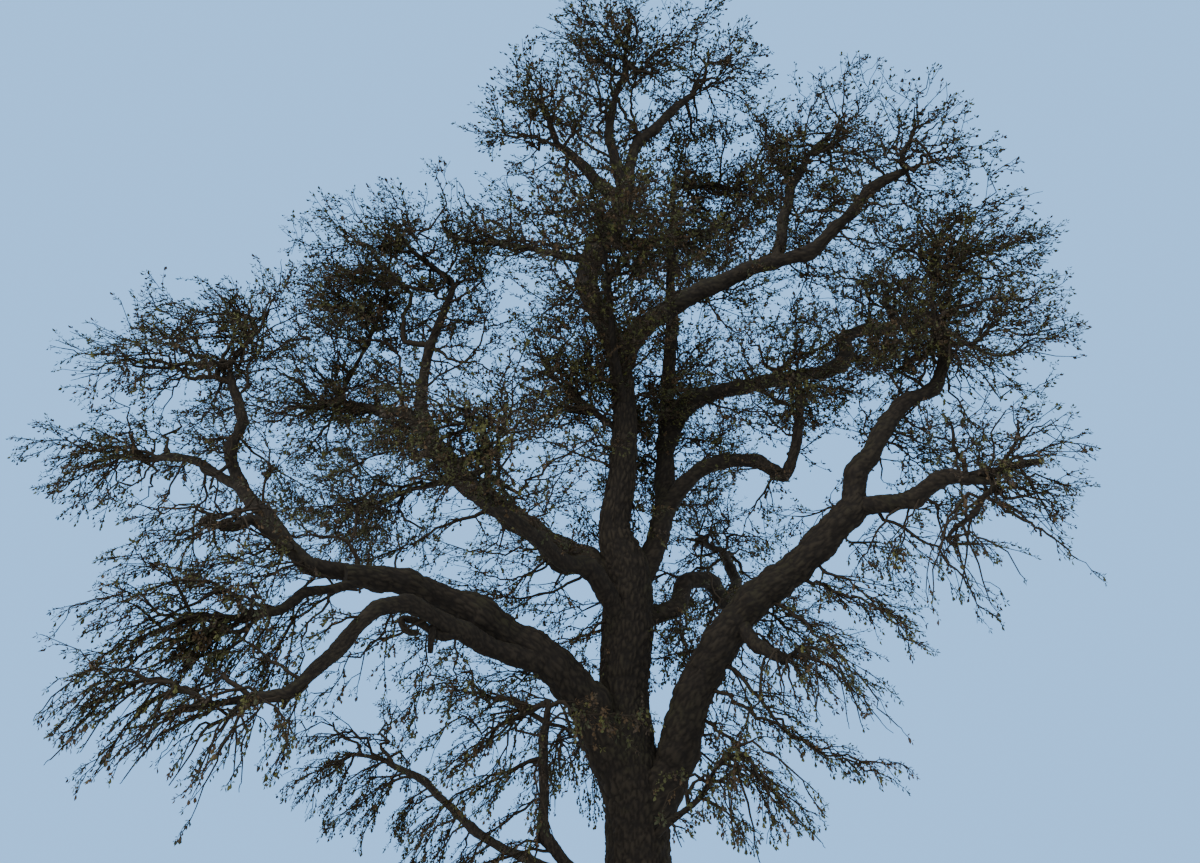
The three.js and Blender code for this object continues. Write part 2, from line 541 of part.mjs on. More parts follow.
function growMasses(limbs) {
  const masses = Object.values(MASSES);
  for (const mass of masses) {
    const onTip = (other) => other.on === mass.on && other.along === undefined;
    const twin = onTip(mass) ? masses.find((other) => other !== mass && onTip(other)) : undefined;
    mass.stem = placeStem(mass, limbs[mass.on], twin);
    mass.walls = buildWalls(mass, masses.filter((other) => other !== mass));
    const reach = mass.stem.points[0].distanceTo(mass.stem.points.at(-1)) * 1.5;
    mass.balls = ballsAlong(reach, (share) => onStem(mass.stem, share).point, () => mass.stem.radii[0]);
  }
  const limbRow = Object.values(limbs).flatMap((limb) => {
    const centreAt = (share) => limb.curve.getPointAt(share);
    return ballsAlong(limb.length, centreAt, (share) => limb.radiusAt(share, 0));
  });
  masses.forEach((mass, i) => {
    const stems = masses.filter((other) => other !== mass).flatMap((other) => other.balls);
    const grown = growMass(mass, SEED + i, [...limbRow, ...stems]);
    const onTip = mass.along === undefined;
    mass.solid = largest(onTip ? grown : grown.subtract(limbSolid(limbs[mass.on], MEETING_GAP)));
  });
}

function named(name, piece, material) {
  const { vertProperties, triVerts } = piece.getMesh();
  const geometry = new THREE.BufferGeometry();
  geometry.setAttribute("position", new THREE.BufferAttribute(vertProperties, 3));
  geometry.setIndex(new THREE.BufferAttribute(triVerts, 1));
  geometry.computeVertexNormals();
  const mesh = new THREE.Mesh(geometry, material);
  mesh.name = name;
  return mesh;
}

const limbs = growLimbs();
growMasses(limbs);

const tree = new THREE.Group();
for (const [name, limb] of Object.entries(limbs)) {
  tree.add(named(name === "trunk" ? name : `bough_${name}`, limb.solid, BARK));
}
for (const [name, mass] of Object.entries(MASSES)) {
  tree.add(named(`foliage_${name}`, mass.solid, YOUNG_LEAF));
}
export default tree;
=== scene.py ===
# Black gum tree in early spring, whole from the flat cut under its root flare to its top.
# Sizes are in metres, with +Z up and the tree seen from -Y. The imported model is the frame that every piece
# stands on: its limbs get their bark here, and its masses of foliage get their twigs and young leaves.

import json
import math
from functools import partial

import bpy
import numpy as np
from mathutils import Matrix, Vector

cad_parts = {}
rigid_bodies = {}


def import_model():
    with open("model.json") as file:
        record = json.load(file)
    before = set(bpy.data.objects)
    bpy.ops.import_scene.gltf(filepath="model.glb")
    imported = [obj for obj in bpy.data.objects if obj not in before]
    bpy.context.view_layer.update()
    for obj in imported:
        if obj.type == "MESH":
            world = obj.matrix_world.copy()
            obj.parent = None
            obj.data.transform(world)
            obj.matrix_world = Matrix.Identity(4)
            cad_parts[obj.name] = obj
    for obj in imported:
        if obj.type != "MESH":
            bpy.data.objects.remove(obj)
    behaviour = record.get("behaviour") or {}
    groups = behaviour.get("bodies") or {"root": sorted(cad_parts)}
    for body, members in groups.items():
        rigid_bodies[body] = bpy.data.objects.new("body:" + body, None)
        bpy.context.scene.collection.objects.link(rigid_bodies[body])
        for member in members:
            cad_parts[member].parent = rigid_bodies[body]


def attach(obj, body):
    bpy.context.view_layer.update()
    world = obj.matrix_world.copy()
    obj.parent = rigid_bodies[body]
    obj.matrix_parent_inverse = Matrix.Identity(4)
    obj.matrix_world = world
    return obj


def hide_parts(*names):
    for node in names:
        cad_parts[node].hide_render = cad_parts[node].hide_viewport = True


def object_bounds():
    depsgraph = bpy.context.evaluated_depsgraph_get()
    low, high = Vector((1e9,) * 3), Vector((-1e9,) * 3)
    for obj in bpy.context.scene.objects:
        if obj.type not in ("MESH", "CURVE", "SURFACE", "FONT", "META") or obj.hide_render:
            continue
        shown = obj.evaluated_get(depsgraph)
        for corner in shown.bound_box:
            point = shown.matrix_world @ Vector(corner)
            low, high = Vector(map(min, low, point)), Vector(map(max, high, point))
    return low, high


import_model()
solid_box = [list(corner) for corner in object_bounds()]


# Viewing point: eye height, 22 m in front of the trunk and a little to its left, looking up into the crown.
# The lens is as long as the sensor is wide, so what stands as far aside as it is deep shows one picture
# width from the middle.

picture_width, picture_height = 1200, 863
picture_middle = np.array([picture_width, picture_height]) / 2
camera = bpy.data.objects.new("viewing_point", bpy.data.cameras.new("viewing_point"))
camera.data.sensor_width = 36.0
camera.data.lens = 36.0
camera.data.clip_end = 600.0
camera.location = (-0.66, -22.0, 1.6)
look_up = math.radians(20.5)
camera.rotation_euler = (math.pi / 2 + look_up, 0.0, 0.0)
bpy.context.scene.collection.objects.link(camera)
bpy.context.scene.camera = camera


# Floor and light: a plain pale floor under a soft, slightly cool light from all round, with one broad soft
# lamp high on the left that picks out the bark.

floor_reach = 150
floor_level = -0.004
floor_mesh = bpy.data.meshes.new("floor")
floor_mesh.from_pydata(
    [(floor_reach * x, floor_reach * y, floor_level) for x, y in ((-1, -1), (1, -1), (1, 1), (-1, 1))],
    [], [(0, 1, 2, 3)],
)
floor = bpy.data.objects.new("floor", floor_mesh)
bpy.context.scene.collection.objects.link(floor)

floor_paint = bpy.data.materials.new("floor_paint")
floor_paint.use_nodes = True
floor_shader = floor_paint.node_tree.nodes["Principled BSDF"]
floor_shader.inputs["Base Color"].default_value = (0.72, 0.73, 0.74, 1)
floor_shader.inputs["Roughness"].default_value = 0.9
floor_mesh.materials.append(floor_paint)

# The surround lights the tree evenly and nearly white, and is itself seen as a pale clear blue.
world = bpy.data.worlds.new("soft_surround")
world.use_nodes = True
tree = world.node_tree
even_light = tree.nodes["Background"]
even_light.inputs["Color"].default_value = (0.86, 0.93, 1.0, 1)
even_light.inputs["Strength"].default_value = 1.1
pale_blue = tree.nodes.new("ShaderNodeBackground")
pale_blue.inputs["Color"].default_value = (0.27, 0.56, 1.0, 1)
pale_blue.inputs["Strength"].default_value = 1.5
seen = tree.nodes.new("ShaderNodeLightPath").outputs["Is Camera Ray"]
either = tree.nodes.new("ShaderNodeMixShader")
tree.links.new(seen, either.inputs[0])
tree.links.new(even_light.outputs[0], either.inputs[1])
tree.links.new(pale_blue.outputs[0], either.inputs[2])
tree.links.new(either.outputs[0], tree.nodes["World Output"].inputs["Surface"])
bpy.context.scene.world = world

lamp = bpy.data.objects.new("soft_lamp", bpy.data.lights.new("soft_lamp", "SUN"))
lamp.data.energy = 1.6
lamp.data.angle = math.radians(40)
lamp.data.color = (1.0, 0.95, 0.88)
lamp.rotation_euler = (math.radians(48), math.radians(-18), math.radians(-32))
bpy.context.scene.collection.objects.link(lamp)


# Trunk: one tapering bole with five root buttresses, that leans left as it rises and kinks where it sheds
# each bough. Its bark is brown black and broken into long blocky plates, with deep furrows between them.

# Each elbow is x, y, z and the radius there.
trunk_elbows = np.array([
    [0, 0, 0, 0.56], [0, 0, 1.9, 0.53], [-0.03, 0.02, 2.8, 0.52], [-0.16, 0.05, 3.9, 0.44],
    [-0.23, 0.08, 4.8, 0.41], [-0.15, 0.08, 5.9, 0.45], [-0.15, 0.04, 7.0, 0.41], [-0.38, 0, 7.8, 0.28],
    [-0.25, -0.05, 8.8, 0.25], [-0.17, 0, 10.2, 0.21], [-0.34, 0.06, 11.6, 0.2], [-0.66, 0.1, 12.4, 0.19],
    [-0.92, 0.05, 13.15, 0.2], [-0.75, -0.05, 13.8, 0.22], [-0.35, -0.1, 14.5, 0.19],
    [-0.12, -0.05, 15.1, 0.15], [-0.22, 0.05, 15.6, 0.13], [-0.34, 0.1, 16.1, 0.12],
])
flare_spread = 0.3
flare_height = 0.55
flare_lobe_depth = 0.1
flare_lobes = 5.0
flare_turn = 0.0997
trunk_step = 0.03
points_a_leg = 60
heading_reach = 0.06


def read_between(wanted, places, values):
    """Each column of the values at the wanted places, which lie between those that are known."""
    return np.stack([np.interp(wanted, places, column) for column in values.T], -1)


def smooth_path(elbows, step):
    """Points about so far apart on the smooth curve through the elbows, how far along it each lies, and
    its place counted in elbows."""
    given = np.asarray(elbows, float)[:, :3]
    p = np.vstack([2 * given[0] - given[1], given, 2 * given[-1] - given[-2]])
    t = np.linspace(0, 1, points_a_leg, endpoint=False)[:, None]
    dense = []
    for a, b, c, d in zip(p, p[1:], p[2:], p[3:]):
        ab, bc, cd = (math.sqrt(np.linalg.norm(leg)) for leg in (b - a, c - b, d - c))
        leave = ((b - a) / ab - (c - a) / (ab + bc) + (c - b) / bc) * bc
        arrive = ((c - b) / bc - (d - b) / (bc + cd) + (d - c) / cd) * bc
        square = 3 * (c - b) - 2 * leave - arrive
        cube = 2 * (b - c) + leave + arrive
        dense.append(b + leave * t + square * t**2 + cube * t**3)
    dense = np.vstack([*dense, given[-1:]])
    walked = np.concatenate([[0], np.cumsum(np.linalg.norm(np.diff(dense, axis=0), axis=1))])
    along = np.linspace(0, walked[-1], max(3, round(walked[-1] / step) + 1))
    points = read_between(along, walked, dense)
    place = np.interp(along, walked, np.arange(len(dense)) / points_a_leg)
    return {"points": points, "along": along, "place": place, "length": walked[-1]}


def at_distance(path, distance):
    """The point so far along a path, and the way that the path heads there."""
    point, ahead, behind = (
        read_between(distance + step, path["along"], path["points"])
        for step in (0, heading_reach, -heading_reach)
    )
    return point, (ahead - behind) / np.linalg.norm(ahead - behind)


trunk_path = smooth_path(trunk_elbows, trunk_step)
trunk_path["foot"] = np.exp(-trunk_path["points"][:, 2] / flare_height)
trunk_path["girth"] = (
    np.interp(trunk_path["place"], np.arange(len(trunk_elbows)), trunk_elbows[:, 3])
    + flare_spread * trunk_path["foot"]
)


def skeleton(name, lines):
    """An object of bare lines, one for each limb or twig, that carry its girth and the distance along it."""
    counts = [len(line["points"]) for line in lines]
    starts = np.cumsum([0, *counts])
    edges = [np.stack([np.arange(a, b - 1), np.arange(a + 1, b)], 1) for a, b in zip(starts, starts[1:])]
    mesh = bpy.data.meshes.new(name)
    mesh.vertices.add(starts[-1])
    mesh.vertices.foreach_set("co", np.vstack([line["points"] for line in lines]).astype(np.float32).ravel())
    edges = np.vstack(edges).astype(np.int32)
    mesh.edges.add(len(edges))
    mesh.edges.foreach_set("vertices", edges.ravel())
    for key in ("girth", "along", "foot"):
        values = [line.get(key, np.zeros(count)) for line, count in zip(lines, counts)]
        layer = mesh.attributes.new(key, "FLOAT", "POINT")
        layer.data.foreach_set("value", np.concatenate(values).astype(np.float32))
    piece = bpy.data.objects.new(name, mesh)
    bpy.context.scene.collection.objects.link(piece)
    return piece


def grow_out(piece, rule, **sizes):
    """Turns a skeleton into the plain mesh that a rule of geometry nodes makes of it."""
    modifier = piece.modifiers.new("growth", "NODES")
    modifier.node_group = rule
    for socket in rule.interface.items_tree:
        if socket.in_out == "INPUT" and socket.name in sizes:
            modifier[socket.identifier] = sizes[socket.name]
    depsgraph = bpy.context.evaluated_depsgraph_get()
    grown = piece.evaluated_get(depsgraph)
    mesh = bpy.data.meshes.new_from_object(grown, preserve_all_data_layers=True, depsgraph=depsgraph)
    bare = piece.data
    piece.modifiers.remove(modifier)
    worn = [material for material in mesh.materials if material]
    mesh.polygons.foreach_set("material_index", np.zeros(len(mesh.polygons), dtype=np.int32))
    mesh.materials.clear()
    mesh.materials.append(worn[0])
    piece.data = mesh
    bpy.data.meshes.remove(bare)
    mesh.name = piece.name
    return piece


def add_sockets(tree, inputs, outputs):
    for in_out, sockets in (("INPUT", inputs), ("OUTPUT", outputs)):
        for name, (kind, value) in sockets.items():
            socket = tree.interface.new_socket(name, in_out=in_out, socket_type="NodeSocket" + kind)
            if value is not None:
                socket.default_value = value
    return tree.nodes.new("NodeGroupInput").outputs, tree.nodes.new("NodeGroupOutput").inputs


def node(tree, kind, settings=None, **inputs):
    """Adds a node. Settings are its own choices, and inputs are values or the sockets that feed it."""
    made = tree.nodes.new(kind)
    for key, value in (settings or {}).items():
        setattr(made, key, value)
    for key, value in inputs.items():
        socket = made.inputs[int(key[1:])] if key[0] == "i" and key[1:].isdigit() else made.inputs[key]
        if isinstance(value, bpy.types.NodeSocket):
            tree.links.new(value, socket)
        else:
            socket.default_value = value
    return made


def arithmetic(tree, operation, first, second=0.0):
    return node(tree, "ShaderNodeMath", {"operation": operation}, i0=first, i1=second).outputs[0]


def attribute(tree, name):
    stored = node(tree, "GeometryNodeInputNamedAttribute", {"data_type": "FLOAT"}, Name=name)
    return stored.outputs["Attribute"]


def makers_for(tree):
    """The three makers of nodes above, set to work on one tree."""
    return (partial(maker, tree) for maker in (node, arithmetic, attribute))


# A limb's rule: a tube of the line's girth, knobbly, with bark plates whose size follows the limb's own.
furrowed_limb = bpy.data.node_groups.new("furrowed_limb", "GeometryNodeTree")
given, made = add_sockets(
    furrowed_limb,
    {
        "Lines": ("Geometry", None), "Sides": ("Int", 24), "Plate width": ("Float", 0.07),
        "Plate length": ("Float", 0.2), "Furrow depth": ("Float", 0.03), "Gnarl": ("Float", 0.12),
        "Knot height": ("Float", 0.04), "Seed": ("Float", 3.0), "Bark": ("Material", None),
    },
    {"Limb": ("Geometry", None)},
)
add, reckon, carried = makers_for(furrowed_limb)
girth = carried("girth")
ring = add("GeometryNodeCurvePrimitiveCircle", Resolution=given["Sides"], Radius=1.0)
turn = add("GeometryNodeSplineParameter").outputs["Factor"]
ring = add(
    "GeometryNodeStoreNamedAttribute", {"data_type": "FLOAT"},
    Geometry=ring.outputs["Curve"], Name="turn", Value=turn,
)
limb = add("GeometryNodeMeshToCurve", Mesh=given["Lines"])
limb = add(
    "GeometryNodeCurveToMesh", Curve=limb.outputs["Curve"],
    **{"Profile Curve": ring.outputs["Geometry"], "Scale": girth, "Fill Caps": True},
)
angle = reckon("MULTIPLY", carried("turn"), 2 * math.pi)
across = reckon("MULTIPLY", reckon("COSINE", angle), girth)
upward = reckon("MULTIPLY", reckon("SINE", angle), girth)
slenderness = reckon("DIVIDE", given["Plate width"], given["Plate length"])
lengthwise = reckon("MULTIPLY", carried("along"), slenderness)
on_bark = add("ShaderNodeCombineXYZ", X=across, Y=upward, Z=lengthwise).outputs[0]
seeded = add("ShaderNodeCombineXYZ", X=given["Seed"], Y=given["Seed"], Z=given["Seed"]).outputs[0]
on_bark = add("ShaderNodeVectorMath", {"operation": "ADD"}, i0=on_bark, i1=seeded).outputs[0]
sway = add("ShaderNodeTexNoise", Vector=on_bark, Scale=11.0, Detail=4.0).outputs["Color"]
sway = add("ShaderNodeVectorMath", {"operation": "SCALE"}, i0=sway, Scale=0.13).outputs[0]
on_bark = add("ShaderNodeVectorMath", {"operation": "ADD"}, i0=on_bark, i1=sway).outputs[0]
plates = add(
    "ShaderNodeTexVoronoi", {"feature": "DISTANCE_TO_EDGE"},
    Vector=on_bark, Scale=reckon("DIVIDE", 1.0, given["Plate width"]), Randomness=0.9,
).outputs["Distance"]
ridge = add(
    "ShaderNodeMapRange", {"interpolation_type": "SMOOTHSTEP"}, i0=plates, i1=0.0, i2=0.28
).outputs["Result"]
scaly = add("ShaderNodeTexNoise", Vector=on_bark, Scale=42.0, Detail=3.0).outputs["Fac"]
relief = reckon("ADD", ridge, reckon("MULTIPLY", scaly, 0.45))
thin_limb = add("ShaderNodeMapRange", i0=girth, i1=0.04, i2=0.34, i3=0.14, i4=1.0).outputs["Result"]
relief = reckon("MULTIPLY", relief, given["Furrow depth"])
relief = reckon("MULTIPLY", relief, thin_limb)
position = add("GeometryNodeInputPosition").outputs[0]
lumps = add("ShaderNodeTexNoise", Vector=position, Scale=2.1, Detail=2.0).outputs["Fac"]
lumps = reckon("MULTIPLY", reckon("SUBTRACT", lumps, 0.5), given["Gnarl"])
lumps = reckon("MULTIPLY", lumps, girth)
knots = add("ShaderNodeTexVoronoi", Vector=position, Scale=1.7).outputs["Distance"]
knots = add(
    "ShaderNodeMapRange", {"interpolation_type": "SMOOTHSTEP"}, i0=knots, i1=0.3, i2=0.02
).outputs["Result"]
knots = reckon("MULTIPLY", knots, given["Knot height"])
rise = reckon("ADD", reckon("ADD", relief, lumps), knots)
here = add("ShaderNodeSeparateXYZ", Vector=position).outputs
lobes = reckon("ARCTAN2", here["Y"], here["X"])
lobes = reckon("MULTIPLY", reckon("ADD", lobes, flare_turn), flare_lobes)
lobes = reckon("MULTIPLY", reckon("COSINE", lobes), flare_lobe_depth)
lobes = reckon("MULTIPLY", lobes, carried("foot"))
rise = reckon("ADD", rise, lobes)
normal = add("GeometryNodeInputNormal").outputs[0]
swell = add("ShaderNodeVectorMath", {"operation": "SCALE"}, i0=normal, Scale=rise).outputs[0]
# The ridge mask also goes to the bark material, which paints shade into the furrows with it.
limb = add(
    "GeometryNodeStoreNamedAttribute", {"data_type": "FLOAT"},
    Geometry=limb.outputs["Mesh"], Name="ridge", Value=ridge,
)
moved = add("ShaderNodeVectorMath", {"operation": "ADD"}, i0=position, i1=swell).outputs[0]
above_ground = add(
    "ShaderNodeVectorMath", {"operation": "MAXIMUM"}, i0=moved, i1=(-100, -100, 0)
).outputs[0]
limb = add("GeometryNodeSetPosition", Geometry=limb.outputs["Geometry"], Position=above_ground)
limb = add("GeometryNodeSetShadeSmooth", Geometry=limb.outputs["Geometry"])
limb = add("GeometryNodeRealizeInstances", Geometry=limb.outputs["Geometry"])
limb = add("GeometryNodeSetMaterial", Geometry=limb.outputs["Geometry"], Material=given["Bark"])
furrowed_limb.links.new(limb.outputs["Geometry"], made["Limb"])

# Colouring shared by bark of every age: ridge colour on the plates, painted shade near black in the furrows
# between them, random blotch and grain through both, and green algae on upper sides.
weathering_and_furrow_shade = bpy.data.node_groups.new("bark_weathering", "ShaderNodeTree")
given, made = add_sockets(
    weathering_and_furrow_shade,
    {
        "Ridge": ("Float", 1.0), "Ridge colour": ("Color", (0.036, 0.028, 0.019, 1)),
        "Furrow colour": ("Color", (0.013, 0.010, 0.008, 1)),
        "Algae colour": ("Color", (0.03, 0.032, 0.014, 1)), "Algae": ("Float", 0.5),
        "Blotch scale": ("Float", 5.0), "Grain scale": ("Float", 70.0),
    },
    {"Colour": ("Color", None), "Roughness": ("Float", None), "Height": ("Float", None)},
)
add, reckon, _ = makers_for(weathering_and_furrow_shade)
spot = add("ShaderNodeTexCoord").outputs["Object"]
blotch = add(
    "ShaderNodeTexNoise", Vector=spot, Scale=given["Blotch scale"], Detail=5.0, Roughness=0.62
).outputs["Fac"]
grain = add(
    "ShaderNodeTexNoise", Vector=spot, Scale=given["Grain scale"], Detail=4.0, Roughness=0.7
).outputs["Fac"]
cover = reckon("MULTIPLY", given["Ridge"], reckon("ADD", blotch, 0.45))
cover = reckon("MULTIPLY", cover, reckon("ADD", grain, 0.5))
# Painted shade: where the ridge mask is low, in the furrows between the plates, the colour goes to the
# near-black furrow shade colour. Blotch and grain vary the mix at random.
bare = add(
    "ShaderNodeMix", {"data_type": "RGBA", "clamp_factor": True},
    i0=cover, i6=given["Furrow colour"], i7=given["Ridge colour"],
).outputs[2]
facing = add("ShaderNodeNewGeometry").outputs["Normal"]
facing = add("ShaderNodeSeparateXYZ", Vector=facing).outputs["Z"]
damp = add("ShaderNodeTexNoise", Vector=spot, Scale=1.3, Detail=4.0).outputs["Fac"]
damp = reckon("ADD", damp, reckon("MULTIPLY", facing, 0.16))
damp = add(
    "ShaderNodeMapRange", {"interpolation_type": "SMOOTHSTEP"}, i0=damp, i1=0.5, i2=0.72
).outputs["Result"]
damp = reckon("MULTIPLY", damp, given["Algae"])
damp = reckon("MULTIPLY", damp, given["Ridge"])
weathered_and_shaded = add(
    "ShaderNodeMix", {"data_type": "RGBA", "clamp_factor": True},
    i0=damp, i6=bare, i7=given["Algae colour"],
).outputs[2]
weathering_and_furrow_shade.links.new(weathered_and_shaded, made["Colour"])
rough = add("ShaderNodeMapRange", i0=grain, i1=0.3, i2=0.7, i3=0.82, i4=0.98).outputs["Result"]
weathering_and_furrow_shade.links.new(rough, made["Roughness"])
height = reckon("ADD", grain, reckon("MULTIPLY", blotch, 0.6))
weathering_and_furrow_shade.links.new(height, made["Height"])


def bark_material(name, bump, ridge=None, **values):
    """Bark of one age: its own weathering, fed by the ridges of the mesh where it has them, which set the
    painted shade in its furrows.
    """
    material = bpy.data.materials.new(name)
    material.use_nodes = True
    tree = material.node_tree
    shader = tree.nodes["Principled BSDF"]
    shader.inputs["Specular IOR Level"].default_value = 0.25
    weathered_and_shaded = node(tree, "ShaderNodeGroup", {"node_tree": weathering_and_furrow_shade}, **values)
    if ridge:
        carved = node(tree, "ShaderNodeAttribute", {"attribute_name": ridge}).outputs["Fac"]
        tree.links.new(carved, weathered_and_shaded.inputs["Ridge"])
    tree.links.new(weathered_and_shaded.outputs["Colour"], shader.inputs["Base Color"])
    tree.links.new(weathered_and_shaded.outputs["Roughness"], shader.inputs["Roughness"])
    raised = node(tree, "ShaderNodeBump", Strength=0.7, Distance=bump, Height=weathered_and_shaded.outputs["Height"])
    tree.links.new(raised.outputs["Normal"], shader.inputs["Normal"])
    return material


old_bark = bark_material("old_furrowed_bark", 0.012, "ridge")
trunk = grow_out(
    skeleton("trunk_bark", [trunk_path]), furrowed_limb,
    **{"Sides": 120, "Plate width": 0.07, "Plate length": 0.2, "Furrow depth": 0.036, "Gnarl": 0.18,
       "Knot height": 0.035, "Seed": 3.0, "Bark": old_bark},
)
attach(trunk, "root")
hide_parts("trunk")


# Boughs: each is one crooked tapering limb that leaves its parent through a swollen collar. The bark is the
# trunk's, with plates that get smaller and furrows that get shallower as the limb gets thinner.

# What each grows from, how far along that, its radius at base and tip, and its elbows.
bough_table = {
    "second_leader": ("trunk", 6.6, 0.21, 0.065, [
        [0.41, 0.3, 7.6], [0.66, 0.7, 9.1], [0.69, 1, 10.6], [0.85, 1.15, 12.2], [0.9, 1.3, 14.4],
        [1, 1.4, 15.7]]),
    "right_bough": ("trunk", 2.4, 0.34, 0.22, [
        [0.62, -0.15, 3.5], [0.88, -0.3, 4.3], [1.25, -0.5, 5.25], [1.85, -0.7, 6], [3.05, -1.1, 7],
        [4, -1.5, 8]]),
    "left_bough": ("trunk", 2.8, 0.39, 0.15, [
        [-0.87, -0.3, 4.5], [-1.5, -0.7, 5.2], [-2.9, -1.4, 6], [-4.35, -2.1, 6.4], [-4.9, -2.5, 6.35]]),
    "upper_left": ("trunk", 6.5, 0.25, 0.16, [
        [-0.85, 0.2, 7.25], [-1.4, 0.35, 7.45], [-2.05, 0.6, 8.05], [-3.25, 0.9, 9], [-3.95, 1.05, 9.75],
        [-4.25, 1.1, 10.15]]),
    "upper_right": ("trunk", 11.3, 0.19, 0.08, [
        [0.15, 0, 12.1], [0.86, -0.1, 12.55], [2.7, -0.4, 13.3], [3.5, -0.6, 13.4], [4, -0.7, 13.8],
        [4.85, -0.9, 14.7], [5.4, -1.1, 15]]),
    "right_rise": ("right_bough", 7, 0.18, 0.075, [
        [3.95, -1.5, 8.5], [4.25, -1.5, 8.9], [4.9, -1.45, 9.8], [5.6, -1.4, 10.2], [5.85, -1.4, 10.75],
        [5.75, -1.35, 11.4]]),
    "right_out": ("right_bough", 7, 0.15, 0.1, [[4.8, -2, 7.85], [5.35, -2.3, 8.1], [5.65, -2.6, 8]]),
    "right_low": ("right_bough", 4.1, 0.12, 0.075, [[2.06, -1.2, 5.4], [2.35, -1.8, 5.1]]),
    "left_rise": ("left_bough", 5.9, 0.14, 0.07, [
        [-5.5, -2.55, 6.5], [-6.3, -2.3, 7.4], [-6.95, -2.1, 8], [-7.2, -1.9, 8.8], [-7.15, -1.7, 9.3],
        [-7.5, -1.5, 10.3]]),
    "left_low": ("left_bough", 2.9, 0.17, 0.07, [
        [-2.45, -1.5, 5.3], [-3.75, -2.8, 5.8], [-4.2, -3.3, 5.6], [-4.6, -3.8, 4.9], [-5.2, -4.25, 4.15],
        [-5.8, -4.5, 4]]),
    "left_out": ("left_rise", 0.5, 0.08, 0.055, [[-5.3, -2.95, 5.95], [-5.7, -3.4, 5.55], [-6.1, -3.7, 5.4]]),
    "far_left": ("left_rise", 3.9, 0.08, 0.055, [[-8, -1.5, 8.7], [-8.6, -1.1, 8.9], [-8.95, -0.9, 8.95]]),
    "mid_left_up": ("upper_left", 5.3, 0.12, 0.075, [
        [-4.38, 1.15, 11], [-4.3, 1.2, 12.1], [-3.95, 1.2, 13.2]]),
    "mid_left_out": ("upper_left", 5.2, 0.11, 0.08, [
        [-4.75, 1.4, 10.75], [-5.2, 1.55, 10.8], [-5.6, 1.75, 11]]),
    "centre_right": ("second_leader", 3.5, 0.16, 0.1, [
        [1.2, 1.2, 10.9], [2.65, 1.4, 11.4], [4.7, 2.2, 12.25], [4.85, 2.4, 13], [5.3, 2.6, 13.25],
        [5.9, 2.75, 13.4]]),
    "right_inner": ("second_leader", 2, 0.14, 0.07, [
        [1.3, 0.1, 9.1], [2.3, -0.4, 9.1], [2.8, -0.7, 8.65], [3, -0.9, 9.3], [3.1, -1, 10.25]]),
    "upper_right_fork": ("upper_right", 4.1, 0.11, 0.07, [
        [3.1, -0.4, 14.2], [3.35, -0.2, 15.2], [3.65, 0, 15.8]]),
    "top_left": ("trunk", 15.3, 0.13, 0.08, [[-0.87, -0.3, 15.45], [-1.4, -0.6, 15.9]]),
    "top_right": ("trunk", 15.6, 0.11, 0.08, [[0.08, 0.2, 16.4], [0.6, 0.3, 17.15], [1.15, 0.45, 17.8]]),
    "low_left_stem": ("trunk", 1.2, 0.12, 0.06, [
        [-1.05, -0.8, 1.6], [-1.6, -1.2, 2.3], [-1.6, -1.3, 3.2], [-1.55, -1.4, 4.2]]),
    "low_left_drooper": ("trunk", 1.4, 0.1, 0.055, [
        [-1.7, 1, 1.8], [-3.1, 2, 2.5], [-4.1, 2.6, 3.4], [-4.9, 2.9, 3.8]]),
    "left_mid": ("left_rise", 1.75, 0.1, 0.055, [
        [-6.45, -2.7, 7.21], [-6.7, -2.95, 7.02], [-6.95, -3.15, 7.03]]),
    "front_left": ("trunk", 5.9, 0.17, 0.08, [
        [-0.84, -0.8, 6.93], [-1.31, -1.3, 6.89], [-1.86, -2.2, 7.15], [-2.31, -3, 7.34]]),
    "back_left": ("trunk", 6.1, 0.2, 0.09, [[-0.86, 0.87, 7.42], [-2.16, 2.41, 8.57], [-3.61, 4.11, 10.04]]),
    "back_right": ("trunk", 6.1, 0.15, 0.09, [
        [0.78, 0.45, 6.45], [0.99, 0.8, 6.99], [1.51, 1.2, 7.13], [1.84, 1.7, 6.86], [2.2, 2.6, 7.3],
        [2.1, 3.4, 8.1]]),
}
collar_swell = 0.25
collar_length = 0.45
bough_side_width = 0.034
bough_step = 0.04
sharpness = 0.45
kink_spacing = 0.5
kink_size = 0.045
swelling = 0.11
knuckle = 0.16
sharpest_knuckle = 1.6
even_at_foot, even_at_tip = 1.2, 0.4


def unit(vectors):
    return vectors / np.linalg.norm(vectors, axis=-1, keepdims=True)


def uneven(along, spacing, chance, columns):
    """Random values between -1 and 1 at even spaces along a limb, with straight runs between them."""
    nodes = np.arange(0, along[-1] + spacing, spacing)
    return read_between(along, nodes, chance.uniform(-1, 1, (len(nodes), columns)))


